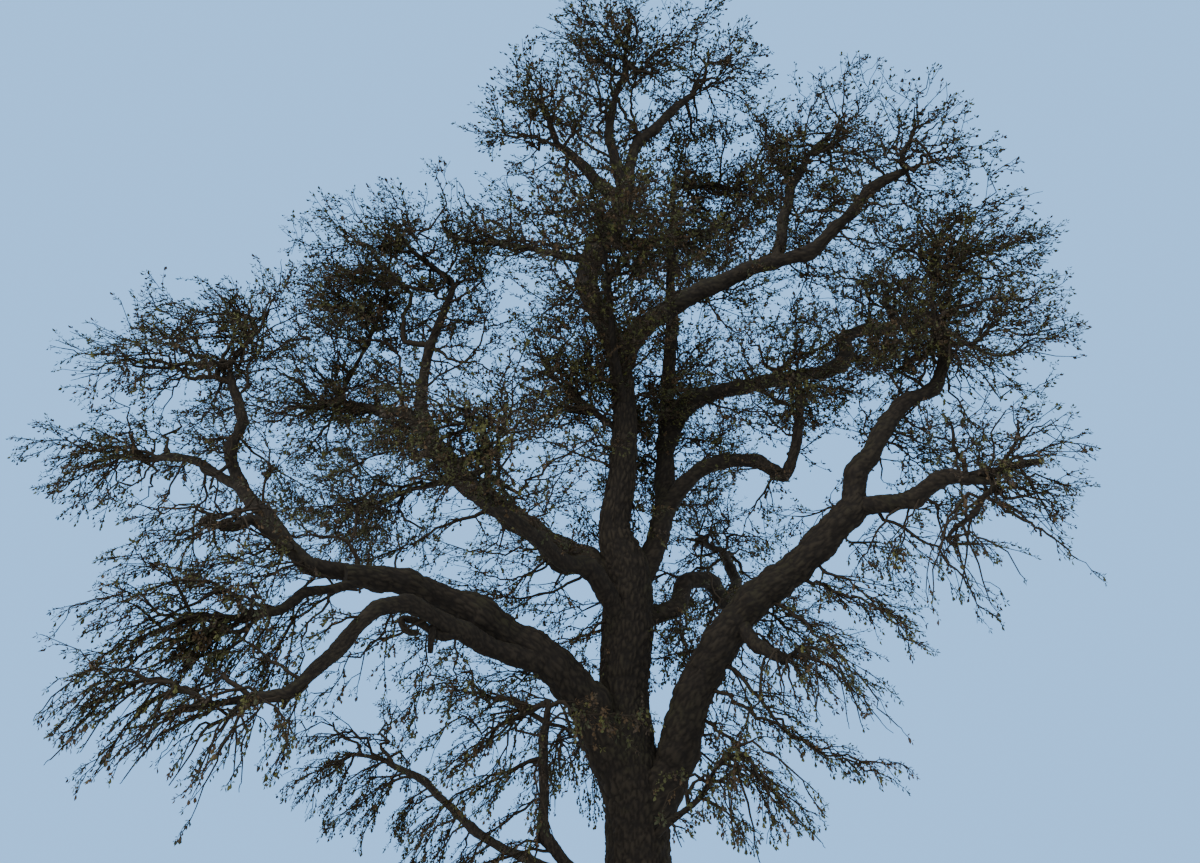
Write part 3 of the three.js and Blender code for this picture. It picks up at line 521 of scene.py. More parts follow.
limb_paths = {"trunk": trunk_path}
for name, (parent, distance, base, tip, elbows) in bough_table.items():
    chance = np.random.default_rng(300 + len(limb_paths))
    start, _ = at_distance(limb_paths[parent], distance)
    corners = np.array([start, *elbows])
    path = smooth_path(corners, bough_step)
    along = path["along"]
    straight = read_between(path["place"], np.arange(len(corners)), corners)
    path["points"] = path["points"] + sharpness * (straight - path["points"])
    held = np.minimum(1, np.minimum(along / even_at_foot, (path["length"] - along) / even_at_tip))[:, None]
    path["points"] = path["points"] + kink_size * held * uneven(along, kink_spacing, chance, 3)
    collar = 1 + collar_swell * np.exp(-along / collar_length)
    ways = unit(np.gradient(path["points"], axis=0))
    turning = np.linalg.norm(np.gradient(ways, axis=0), axis=1) / bough_step
    turning = np.convolve(turning, np.hanning(15) / np.hanning(15).sum(), "same")
    swell = 1 + swelling * (held * uneven(along, 0.6 * kink_spacing, chance, 1))[:, 0]
    swell = swell + knuckle * np.minimum(sharpest_knuckle, turning) * held[:, 0]
    path["girth"] = (base + (tip - base) * along / path["length"]) * collar * swell
    limb_paths[name] = path
    bough = grow_out(
        skeleton("bark_" + name, [path]), furrowed_limb,
        **{"Sides": max(16, round(2 * math.pi * base / bough_side_width)), "Plate width": 0.03 + 0.13 * base,
           "Plate length": 0.08 + 0.4 * base, "Furrow depth": 0.034, "Gnarl": 0.45, "Knot height": 0.03,
           "Seed": 3.0 + len(limb_paths), "Bark": old_bark},
    )
    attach(bough, "root")
    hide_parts("bough_" + name)


# Broken stubs: old limbs that snapped off short and ended blunt, with bark like the boughs' own.

# What each stands on, its radius at foot and end, and its elbows.
stub_table = {
    "curled_stub": ("left_bough", 0.075, 0.05, [
        [-3.0, -2.1, 5.46], [-3.27, -2.25, 5.37], [-3.66, -2.4, 5.58], [-3.92, -2.5, 5.6], [-3.8, -2.55, 5.4],
        [-3.63, -2.5, 5.38]]),
    "hanging_stub": ("left_bough", 0.06, 0.045, [
        [-3.38, -2.3, 5.66], [-3.42, -2.4, 5.35], [-3.43, -2.4, 5.07]]),
    "right_stub": ("right_out", 0.06, 0.05, [
        [5.5, -2.6, 7.98], [5.86, -2.7, 8.03], [6.23, -2.9, 8.12], [6.7, -3.1, 8.14]]),
    "left_knuckle": ("left_low", 0.07, 0.025, [
        [-5.26, -4.25, 4.2], [-5.24, -4.28, 4.06], [-5.26, -4.3, 3.92]]),
    "far_left_knuckle": ("left_low", 0.055, 0.025, [
        [-5.79, -4.5, 4.05], [-5.8, -4.6, 3.95], [-5.77, -4.65, 3.84]]),
    "curled_twig": ("left_rise", 0.035, 0.022, [
        [-7.1, -2.2, 8.4], [-7.35, -2.3, 8.17], [-7.53, -2.35, 8.22], [-7.56, -2.4, 8.4]]),
    "trunk_stub": ("trunk", 0.1, 0.07, [[0.2, 0.2, 6.3], [0.46, 0.25, 6.36], [0.72, 0.3, 6.25]]),
}
stub_step = 0.03
stubs = []
for parent, base, tip, elbows in stub_table.values():
    path = smooth_path(elbows, stub_step)
    path["girth"] = np.linspace(base, tip, len(path["along"]))
    stubs.append(path)
piece = grow_out(
    skeleton("broken_stubs", stubs), furrowed_limb,
    **{"Sides": 16, "Plate width": 0.035, "Plate length": 0.09, "Furrow depth": 0.04, "Gnarl": 0.7,
       "Knot height": 0.02, "Seed": 55.0, "Bark": old_bark},
)
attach(piece, "root")
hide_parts(*sorted({
    parent if parent == "trunk" else "bough_" + parent for parent, _, _, _ in stub_table.values()
}))


# Stems: where a bough ends, or from the side of the trunk, a crooked stem runs on through the middle of each
# mass of foliage. Its bark is the boughs' own, and every branch of the mass leaves from it.

# What each mass's stem grows on from, how far along that (None at its tip), the mass's middle and half sizes,
# how far its branches turn up or hang down, and how full it is.
pad, arch, weep = 0.1, -0.12, -0.3
mass_table = {
    "top_crown": ("trunk", None, [-0.04, 0.1, 18.79], [1.95, 1.85, 1.57], pad, 1.3),
    "top_right": ("top_right", None, [1.72, 0.6, 18.69], [1.65, 1.6, 1.4], pad, 0.75),
    "top_left": ("top_left", None, [-1.8, -1, 16.53], [1.6, 1.6, 1.15], pad, 0.9),
    "high_left": ("trunk", 13.8, [-3.99, 1.4, 15], [2.1, 1.85, 1.1], pad, 1.2),
    "high_front": ("trunk", 10.4, [-0.69, -3.6, 12.34], [2.05, 1.95, 0.95], pad, 1.2),
    "high_back": ("trunk", 14.2, [2.63, 3.6, 16.54], [2.2, 1.95, 1.45], pad, 0.8),
    "second_leader": ("second_leader", None, [2.75, 1.6, 16.41], [1.9, 1.85, 1.35], pad, 1.0),
    "upper_right": ("upper_right", None, [5.48, -1.4, 15.46], [1.45, 1.6, 1.25], pad, 1.2),
    "upper_right_fork": ("upper_right_fork", None, [4.3, 0.2, 16.79], [2.05, 1.85, 1.35], pad, 1.0),
    "centre_right": ("centre_right", None, [5.96, 3, 14.33], [2.1, 1.95, 1.4], pad, 1.2),
    "right_rise_high": ("right_rise", None, [6.28, -0.8, 13.81], [2.05, 1.95, 1.2], pad, 1.6),
    "right_rise_low": ("right_rise", None, [6.08, -1.8, 10.86], [1.85, 1.85, 1.1], pad, 1.2),
    "right_out": ("right_out", None, [5.97, -3.2, 8.09], [1.3, 1.45, 1.15], arch, 1.1),
    "right_out_weeping": ("right_out", None, [4.82, -3.8, 6.59], [1.3, 1.35, 1.1], weep, 0.3),
    "right_low": ("right_low", None, [2.57, -2.6, 5.12], [1.45, 1.45, 1.55], weep, 0.4),
    "low_right": ("trunk", 2, [1.58, -2.2, 3.48], [1.65, 1.6, 1.3], weep, 0.6),
    "right_inner": ("right_inner", None, [2.67, -1, 10.66], [1.5, 1.45, 1.2], pad, 0.9),
    "left_rise_high": ("left_rise", None, [-7.33, -1, 11.65], [2.25, 1.95, 1.15], pad, 1.7),
    "left_rise_low": ("left_rise", None, [-8.74, -2, 10.31], [1.65, 1.7, 1.05], arch, 0.9),
    "far_left": ("far_left", None, [-9.79, -0.4, 9.26], [1.8, 1.6, 1.05], arch, 0.55),
    "left_mid": ("left_mid", None, [-6.56, -3.7, 7.03], [1.5, 1.45, 0.8], arch, 0.45),
    "left_out": ("left_out", None, [-6.9, -4, 5.32], [1.85, 1.7, 1], arch, 2.6),
    "left_low": ("left_low", None, [-7.06, -4.8, 4.33], [1.6, 1.6, 1.1], weep, 1.5),
    "left_low_weeping": ("left_low", None, [-5.87, -4.4, 3.87], [1.2, 1.35, 1.1], weep, 0.45),
    "mid_left_up": ("mid_left_up", None, [-4.94, 1.2, 14.76], [2.45, 2.2, 1.45], pad, 1.3),
    "mid_left_high": ("mid_left_out", None, [-5.43, 2.2, 14.05], [2, 1.95, 1.3], pad, 1.5),
    "mid_left_out": ("mid_left_out", None, [-7.26, 2.6, 11.4], [2.18, 2.05, 1.32], pad, 1.0),
    "front_left": ("front_left", None, [-2.46, -4.4, 8.29], [1.75, 1.7, 1.15], pad, 1.4),
    "inner_left": ("trunk", 9.8, [-1.68, 0.5, 11.24], [1.65, 1.6, 1.45], pad, 1.5),
    "back_left": ("back_left", None, [-6.18, 5, 9.85], [2.3, 2.2, 1.7], pad, 1.8),
    "back_right": ("back_right", None, [1.54, 4.9, 8.98], [2.45, 2.2, 1.7], pad, 0.9),
    "low_left_stem": ("low_left_stem", None, [-2.32, -1.6, 4.02], [1.85, 1.7, 1.05], arch, 0.7),
    "low_left_drooper": ("low_left_drooper", None, [-5.79, 3.4, 4.01], [1.9, 1.85, 1.25], arch, 0.8),
    "low_back": ("trunk", 4.2, [-1.5, 3.9, 4.46], [2.35, 2.05, 1.8], arch, 0.6),
}
crown_heart = np.array([-0.4, 0, 8.5])
stem_tip_radius = 0.03
side_stem_radius = 0.08
stem_step = 0.07
stem_wander = 0.05
stem_start_depth = 0.12
elbow_share, end_share = 0.25, 0.4
lone_stem_share, twin_stem_share, stem_end_share = 0.95, 0.72, 0.55

masses = {}
for number, (name, (on, distance, middle, half, turn, fullness)) in enumerate(mass_table.items()):
    masses[name] = {
        "number": number, "on": on, "distance": distance, "middle": np.array(middle, float),
        "half": np.array(half, float), "turn": turn, "fullness": fullness,
    }


def place_stem(mass, twin):
    """The stem's five points by the solids' rule, made smooth and crooked, from a little inside its limb."""
    limb = limb_paths[mass["on"]]
    middle = mass["middle"]
    from_side = mass["distance"] is not None
    start, heading = at_distance(limb, mass["distance"] if from_side else limb["length"])
    radius = side_stem_radius if from_side else limb["girth"][-1]
    if from_side:
        heading = (middle - start) / np.linalg.norm(middle - start)
    if twin:
        aside = middle - twin["middle"]
        aside -= heading * aside.dot(heading)
        start = start + aside / np.linalg.norm(aside) * radius / 2
    outward = (middle - crown_heart) / np.linalg.norm(middle - crown_heart)
    elbow = start + heading * elbow_share * np.linalg.norm(middle - start)
    end = middle + outward * end_share * mass["half"].min()
    corners = [start - heading * stem_start_depth, start, elbow, (elbow + middle) / 2, middle, end]
    path = smooth_path(corners, stem_step)
    chance = np.random.default_rng(500 + mass["number"])
    share = path["along"] / path["length"]
    sway = sum(
        np.outer(np.sin(2 * math.pi * (waves * share + chance.random())), chance.normal(size=3)) / waves
        for waves in (1, 2, 3.4)
    )
    path["points"] = path["points"] + stem_wander * sway * np.minimum(1, share / 0.25)[:, None]
    base = (twin_stem_share if twin else lone_stem_share) * radius
    path["girth"] = base + (stem_end_share * stem_tip_radius - base) * share
    mass["stem"], mass["outward"] = path, outward
    return path


for mass in masses.values():
    twins = [m for m in masses.values() if m is not mass and m["on"] == mass["on"] and m["distance"] is None]
    place_stem(mass, twins[0] if twins and mass["distance"] is None else None)

stems = grow_out(
    skeleton("crown_stems", [mass["stem"] for mass in masses.values()]), furrowed_limb,
    **{"Sides": 14, "Plate width": 0.036, "Plate length": 0.1, "Furrow depth": 0.045, "Gnarl": 0.7,
       "Knot height": 0.02, "Seed": 41.0, "Bark": old_bark},
)
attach(stems, "root")
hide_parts(*["foliage_" + name for name in masses])


# Branches and twigs: crooked branches leave every stem and bough. Each carries side branches to both sides
# in turn, those carry sprays, and those the last short twigs. Low and outer ones droop, high ones turn up.

golden_angle = 2.4
solid_twigs = 7
twig_fan, fan_behind = 1.55, 0.55
last_root_share = 0.97
flatness = 1.4
mass_floor = 0.2
past_solids = 0.22
lowest_twig = 0.5
low_limit = np.array(solid_box[0]) - past_solids
high_limit = np.array(solid_box[1]) + past_solids
low_limit[2] = lowest_twig


def seeded_numbers(seed):
    """The same even random numbers that set out the twigs of the solids."""
    state = seed
    while True:
        state = (state * 1664525 + 1013904223) % 2**32
        yield state / 2**32


def build_walls(mass):
    """Flat walls that share out the room between this mass and its neighbours."""
    stretch = np.array([1, 1, flatness])
    walls = [(np.array([0, 0, -1.0]), -mass_floor)]
    for other in masses.values():
        if other is mass:
            continue
        here, there = mass["middle"] * stretch, other["middle"] * stretch
        own, theirs = (np.cbrt(np.prod(m["half"]) * flatness) ** 2 for m in (mass, other))
        level = (there @ there - here @ here + own - theirs) / 2
        walls.append(((there - here) * stretch, level))
    return walls


def room_towards(mass, point, aim):
    """The share of the way from a point to an aim that lies in the mass's space."""
    start = (point - mass["middle"]) / mass["half"]
    step = (aim - point) / mass["half"]
    closing = start @ step / (step @ step)
    beyond = closing**2 + (1 - start @ start) / (step @ step)
    room = max(0.0, min(1.0, math.sqrt(max(0, beyond)) - closing))
    for normal, level in mass["walls"]:
        speed = normal @ (aim - point)
        if speed > 0:
            room = max(0.0, min(room, (level - normal @ point) / speed))
    return room


def crooked(root, bend, tip, steps, wander, chance):
    """A line that leaves its root, passes the bend and ends at the tip, with random kinks on the way."""
    t = np.linspace(0, 1, steps + 1)[:, None]
    pull = 2 * bend - (root + tip) / 2
    line = (1 - t) ** 2 * root + 2 * t * (1 - t) * pull + t**2 * tip
    kinks = np.cumsum(chance.normal(size=(steps + 1, 3)), axis=0) + 0.5 * chance.normal(size=(steps + 1, 3))
    kinks -= kinks[0]
    kinks -= t * kinks[-1]
    return line + kinks * (wander * np.linalg.norm(tip - root) / math.sqrt(steps))


level_height = 9
level_reach = 4
rise_a_metre_up = 0.16
droop_a_metre_out = 0.07
steepest_rise = 0.45


def drift(point):
    """The way that shoots tend towards at a point: away from the trunk, and down where they are low or far
    out. Also how much they droop there, from 0 to 1."""
    out = math.hypot(point[0], point[1])
    rise = rise_a_metre_up * (point[2] - level_height) - droop_a_metre_out * (out - level_reach)
    rise = min(steepest_rise, max(-1.0, rise))
    away = point[:2] / (out + 1.0)
    return np.array([away[0], away[1], rise]), max(0.0, -rise)


# Where the crown is thinner or thicker than its surroundings, seen from the viewing point: how far across
# and down the picture, the radius there, and how full it is.
spots = np.array([
    [500, 540, 45, 0.4], [430, 500, 45, 0.5], [965, 550, 60, 0.35], [845, 480, 50, 0.5],
    [1065, 440, 50, 0.5], [950, 390, 40, 0.6], [220, 520, 50, 0.5], [130, 500, 40, 0.6], [80, 350, 40, 0.5],
    [275, 420, 50, 0.55], [375, 355, 35, 0.5], [515, 345, 40, 0.4], [545, 270, 40, 0.6],
    [365, 635, 45, 0.6], [290, 610, 40, 0.7], [560, 470, 45, 0.6], [235, 750, 45, 0.5], [140, 740, 45, 0.3],
    [75, 720, 40, 0.6], [170, 635, 40, 0.6], [960, 360, 45, 0.7], [880, 715, 50, 0.6], [740, 665, 40, 0.6],
    [530, 180, 50, 0.4], [560, 45, 45, 0.5], [870, 90, 45, 0.5], [950, 100, 40, 0.5], [497, 120, 45, 1.6],
    [880, 190, 50, 0.7], [200, 280, 50, 0.6], [290, 285, 40, 0.7], [360, 205, 45, 0.5], [470, 200, 45, 0.6],
    [735, 365, 55, 0.5], [815, 345, 40, 0.7], [820, 275, 40, 0.6], [550, 600, 40, 0.6], [715, 560, 50, 0.6],
    [390, 285, 50, 1.5], [1055, 510, 35, 0.6], [200, 585, 50, 1.5], [115, 665, 45, 1.5],
    [100, 745, 45, 1.5], [275, 480, 45, 1.7], [350, 440, 45, 1.6], [400, 548, 45, 1.3], [465, 345, 45, 1.3],
    [430, 315, 35, 0.7], [560, 225, 45, 1.5], [560, 315, 35, 1.2], [450, 385, 35, 0.6], [450, 432, 40, 1.5],
    [500, 585, 45, 1.4], [560, 510, 35, 1.4], [650, 390, 60, 1.7], [645, 490, 45, 1.5], [760, 415, 50, 1.6],
    [825, 410, 40, 1.5], [910, 365, 45, 1.6], [985, 295, 45, 1.4], [985, 195, 35, 0.5], [850, 560, 40, 1.2],
    [780, 640, 45, 1.4], [665, 655, 45, 1.6], [505, 75, 40, 0.6], [1040, 295, 40, 0.7], [180, 400, 40, 0.6],
    [965, 210, 40, 1.3], [395, 548, 30, 1.2], [530, 440, 30, 1.3], [640, 360, 30, 1.2], [800, 320, 50, 1.4],
    [250, 655, 40, 1.5], [90, 480, 60, 1.3], [390, 700, 45, 1.3], [940, 490, 40, 1.3],
])
fullest = 1.5


def fullness_at(point):
    """How full the crown is at a point beside what its masses say, which is 1 away from every spot."""
    away = point - np.array(camera.location)
    depth = away[1] * math.cos(look_up) + away[2] * math.sin(look_up)
    height = away[2] * math.cos(look_up) - away[1] * math.sin(look_up)
    seen = picture_middle + picture_width * np.array([away[0], -height]) / depth
    nearness = np.exp(-np.sum((spots[:, :2] - seen) ** 2, axis=1) / spots[:, 2] ** 2)
    return min(fullest, np.prod(1 + (spots[:, 3] - 1) * nearness))


limb_clearance = 0.05
limb_balls = np.vstack([path["points"][::4] for path in limb_paths.values()])
limb_ball_radii = np.concatenate([path["girth"][::4] for path in limb_paths.values()])


def chance_at(point):
    """A generator of its own for whatever starts at this point."""
    return np.random.default_rng(np.abs(np.asarray(point) * 1e4).astype(int))


def touches_limb(line):
    """Whether a line meets a limb past the few points by which it leaves its own."""
    gaps = np.linalg.norm(line[3:, None] - limb_balls[None], axis=2) - limb_ball_radii
    return gaps.min() < limb_clearance


branch_tip = 0.009
thickest_branch = 0.05
shortest_branch = 0.4
branch_wander, weeping_wander = 0.17, 0.07
branch_joint, streamer_joint = 0.17, 0.2


def grow_branches(mass):
    """The mass's branches: those of the solids."""
    chance = np.random.default_rng(900 + mass["number"])
    numbers = seeded_numbers(20 + mass["number"])
    mass["walls"] = build_walls(mass)
    path, outward = mass["stem"], mass["outward"]
    level = unit(np.cross([0.01, 0, 1], outward))
    other_way = np.cross(outward, level)
    inside = np.linalg.norm((path["points"] - mass["middle"]) / mass["half"], axis=1) < 1
    entry = path["along"][np.argmax(inside)] if inside.any() else 0.5 * path["length"]
    grown = []
    for k in range(solid_twigs):
        forward = 1 - twig_fan * k / (solid_twigs - 1)
        jitter, _, _ = next(numbers), next(numbers), next(numbers)
        spin = k * golden_angle + 0.7 * jitter
        around = level * math.cos(spin) + other_way * math.sin(spin)
        aim = around * math.sqrt(1 - forward**2) + outward * forward
        if mass["turn"] == weep:
            aim = unit(aim * [1, 1, 0] - [0, 0, abs(aim[2]) + 0.5])
        aim = aim * mass["half"] + mass["middle"]
        distance = entry + (last_root_share * path["length"] - entry) * (forward + fan_behind) / twig_fan
        root, _ = at_distance(path, distance)
        tip = root + (aim - root) * room_towards(mass, root, aim)
        length = np.linalg.norm(tip - root)
        bend = (root + tip) / 2 - [0, 0, mass["turn"] * length]
        wander = weeping_wander if mass["turn"] == weep else branch_wander
        line = crooked(root, bend, tip, max(5, round(length / branch_joint)), wander, chance)
        if length < shortest_branch or touches_limb(line):
            continue
        thick = min(thickest_branch, 0.8 * np.interp(distance, path["along"], path["girth"]) + 0.008)
        grown.append({"points": line, "girth": taper(thick, branch_tip, len(line)), "mass": mass})
    return grown


def taper(thick, thin, count):
    return thick + (thin - thick) * np.linspace(0, 1, count) ** 0.8


tries_for_room = 3
long_enough, too_short = 0.7, 0.5
open_front = -2.2


def stream_branches(path, mass, first, spacing, thick, longest):
    """Branches that leave a stem or bough all along and tend the way that shoots tend there. A bough's own
    turn to the back, except where it stands well in front."""
    chance = chance_at(path["points"][-1])
    grown = []
    spacing /= fullest
    for at in np.arange(first * path["length"], path["length"], spacing):
        root, heading = at_distance(path, min(path["length"], at + chance.uniform(-0.4, 0.4) * spacing))
        pull, droop = drift(root)
        pull[:2] *= 0.4 + 0.6 * droop
        for _ in range(tries_for_room):
            scatter = chance.normal(size=3)
            scatter[1] = abs(scatter[1]) if mass is None and root[1] > open_front else scatter[1]
            way = unit(unit(scatter) * (1 - 0.45 * droop) + pull + 0.2 * heading)
            length = longest * chance.uniform(0.5, 1.0)
            if mass:
                aim = root + way * length
                wider = {**mass, "half": mass["half"] * (1.1 + 0.2 * droop)}
                length *= room_towards(wider, root, aim)
            if length > long_enough:
                break
        tip = np.clip(root + way * length, low_limit, high_limit)
        length = np.linalg.norm(tip - root)
        if length < too_short:
            continue
        bend = (root + tip) / 2 + [0, 0, (0.17 * droop - 0.05) * length]
        joints = max(5, round(length / streamer_joint))
        line = crooked(root, bend, tip, joints, 0.1 - 0.055 * droop, chance_at(tip))
        if chance.random() * fullest < fullness_at((root + tip) / 2) and not touches_limb(line):
            grown.append({"points": line, "girth": taper(thick, branch_tip, len(line)), "mass": mass})
    return grown


thinnest_shoot, shoot_tip = 0.0085, 0.006
shortest_shoot = 0.08
least_room = 0.35
shoot_room = 1.12


def grow_shoots(parent, spacing, first, reach, spread, wander, steps):
    """Shoots to both sides of a line in turn, in the room of its mass, and longest near its middle."""
    line = parent["points"]
    chance = chance_at(line[-1])
    walked = np.concatenate([[0], np.cumsum(np.linalg.norm(np.diff(line, axis=0), axis=1))])
    length, mass = walked[-1], parent["mass"]
    count = max(2, round((1 - first) * length * fullest / spacing))
    grown = []
    for k in range(count + 1):
        share = first + (1 - first) * min(1, (k + chance.uniform(-0.3, 0.3) * (k < count)) / count)
        at = length * max(0.02, share)
        root = read_between(at, walked, line)
        if k < count and chance.random() * fullest > fullness_at(root):
            continue
        nearby = min(len(line) - 2, np.searchsorted(walked, at, side="right") - 1)
        heading = unit(line[nearby + 1] - line[nearby])
        side = unit(np.cross(heading, [0.02, 0.03, 1])) * (1 if k % 2 else -1)
        roll = chance.normal(0, 0.7)
        side = side * math.cos(roll) + np.cross(heading, side) * math.sin(roll)
        pull, droop = drift(root)
        angle = spread * chance.uniform(0.6, 1.35) * (1 - 0.5 * droop) * (0.3 if k == count else 1)
        way = unit(heading * math.cos(angle) + side * math.sin(angle) + pull * chance.uniform(0.2, 0.6))
        swell = 0.5 + 0.75 * math.sin(math.pi * max(0, share) ** 0.8)
        span = reach * chance.uniform(0.5, 1.25) * swell * (1 - 0.3 * droop)
        if mass:
            wider = {**mass, "half": mass["half"] * shoot_room}
            span *= max(least_room, room_towards(wider, root, root + way * span))
        tip = np.clip(root + way * span, low_limit, high_limit)
        if np.linalg.norm(tip - root) < shortest_shoot:
            continue
        bend = (root + tip) / 2 + [0, 0, (0.16 * droop - 0.06) * span]
        thick = min(0.65 * np.interp(at, walked, parent["girth"]), thinnest_shoot + 0.015 * span)
        grown.append({
            "points": crooked(root, bend, tip, steps, wander, chance), "mass": mass, "span": span,
            "girth": np.linspace(max(thinnest_shoot, thick), shoot_tip, steps + 1),
        })
    return grown


branches = [branch for mass in masses.values() for branch in grow_branches(mass)]
for mass in masses.values():
    branches += stream_branches(
        mass["stem"], mass, first=0.15, spacing=0.285 / mass["fullness"], thick=0.032, longest=2.1,
    )

# Boughs put out branches of their own between the masses, longer and weeping on the low ones.
bare_boughs = ("left_bough", "left_low", "front_left", "back_left", "right_inner", "left_mid")
for name, path in limb_paths.items():
    low = path["points"][-1, 2] < level_height
    branches += stream_branches(
        path, None, first=0.36 if name == "trunk" else 0.22, spacing=0.6 if name in bare_boughs else 0.27,
        thick=0.03, longest=2.5 if low else 1.9,
    )

# Secondary limbs that show one by one: the weeping ones under the right bough, the fork and the whips on the
# left. Each has the radius at its foot, and its elbows.
lone_limbs = [
    (0.045, [[2.75, -1.0, 6.75], [3.31, -1.2, 6.45], [3.89, -2.2, 5.91], [4.26, -3, 5.17]]),
    (0.04, [[2.1, -0.8, 6.25], [2.48, -1, 6.17], [3.4, -2.2, 4.99], [3.91, -3, 3.85]]),
    (0.045, [[1.4, -0.6, 5.3], [1.81, -0.7, 4.98], [2.78, -1.8, 3.67], [4.01, -3, 3.24]]),
    (0.045, [[1.0, -0.4, 4.75], [1.28, -0.6, 4.74], [1.89, -1.2, 4.28], [3.1, -2.2, 3.45],
             [3.74, -2.8, 3.12]]),
    (0.04, [[0.95, -0.35, 4.4], [1.19, -0.4, 4.25], [2.07, -1.4, 3.23], [2.68, -2, 2.57]]),
    (0.06, [[-4.7, -2.3, 6.4], [-4.8, -2.2, 6.75], [-4.92, -2.2, 6.99], [-5.69, -1.9, 7.25],
            [-6.25, -1.6, 7.83]]),
    (0.04, [[-4.9, -2.2, 7.0], [-4.87, -2.1, 7.29], [-4.85, -1.8, 7.96], [-5.14, -1.6, 8.49]]),
    (0.04, [[-0.5, 0.2, 7.1], [-1.39, -0.6, 7.32], [-2.44, -1.2, 7.08], [-3.46, -1.6, 7.1]]),
    (0.02, [[-3.5, -2.4, 5.35], [-3.52, -2.4, 4.85], [-3.57, -2.4, 4.32], [-3.64, -2.4, 3.9]]),
    (0.03, [[-5.66, -4.6, 4.1], [-5.85, -4.8, 3.4], [-6.15, -4.9, 2.6]]),
    (0.045, [[-2.9, 0.8, 8.45], [-3.38, 0.4, 8.14], [-3.89, 0, 7.77], [-4.46, -0.4, 7.33],
             [-4.87, -0.6, 7.09]]),
    (0.04, [[-1.6, 0.4, 7.5], [-2.15, -0.1, 6.74], [-2.49, -0.4, 6.45], [-2.82, -0.7, 6.29]]),
    (0.04, [[-0.44, 0, 6.18], [-0.84, -0.2, 5.84], [-1.17, -0.3, 5.68], [-1.53, -0.4, 5.7]]),
    (0.04, [[4.18, -1.5, 7.85], [4.65, -1.7, 7.31], [5.01, -2, 7], [5.3, -2.3, 6.48], [5.63, -2.6, 5.7]]),
    (0.035, [[3.1, -1.05, 7.0], [3.69, -1.5, 6.45], [4.09, -1.9, 5.97], [4.45, -2.2, 5.49]]),
    (0.035, [[-4.3, 1.17, 11.25], [-3.68, 0.9, 11.64], [-3.15, 0.7, 11.89], [-2.62, 0.5, 12.14]]),
    (0.035, [[-6.0, -3.65, 5.42], [-6.71, -3.9, 5], [-7.33, -4.2, 4.77], [-7.8, -4.6, 4.51]]),
    (0.035, [[-5.8, -4.5, 4.0], [-6.74, -4.7, 3.79], [-7.3, -4.8, 3.5], [-7.69, -4.9, 3.13]]),
]
lone_limb_step = 0.18
even_foot = 0.3
usual_bare_share = 0.12


def kinked_limb(path, end, kink, thick, tip, bare=usual_bare_share):
    """A limb along a path, with small random kinks past its foot. Its bare first share has no shoots."""
    kinks = kink * chance_at(end).normal(size=path["points"].shape)
    kinks *= np.minimum(1, path["along"] / even_foot)[:, None]
    girth = taper(thick, tip, len(path["along"]))
    return {"points": path["points"] + kinks, "girth": girth, "mass": None, "bare": bare}


for thick, elbows in lone_limbs:
    path = smooth_path(elbows, lone_limb_step)
    branches.append(kinked_limb(path, elbows[-1], kink=0.035, thick=thick, tip=branch_tip))

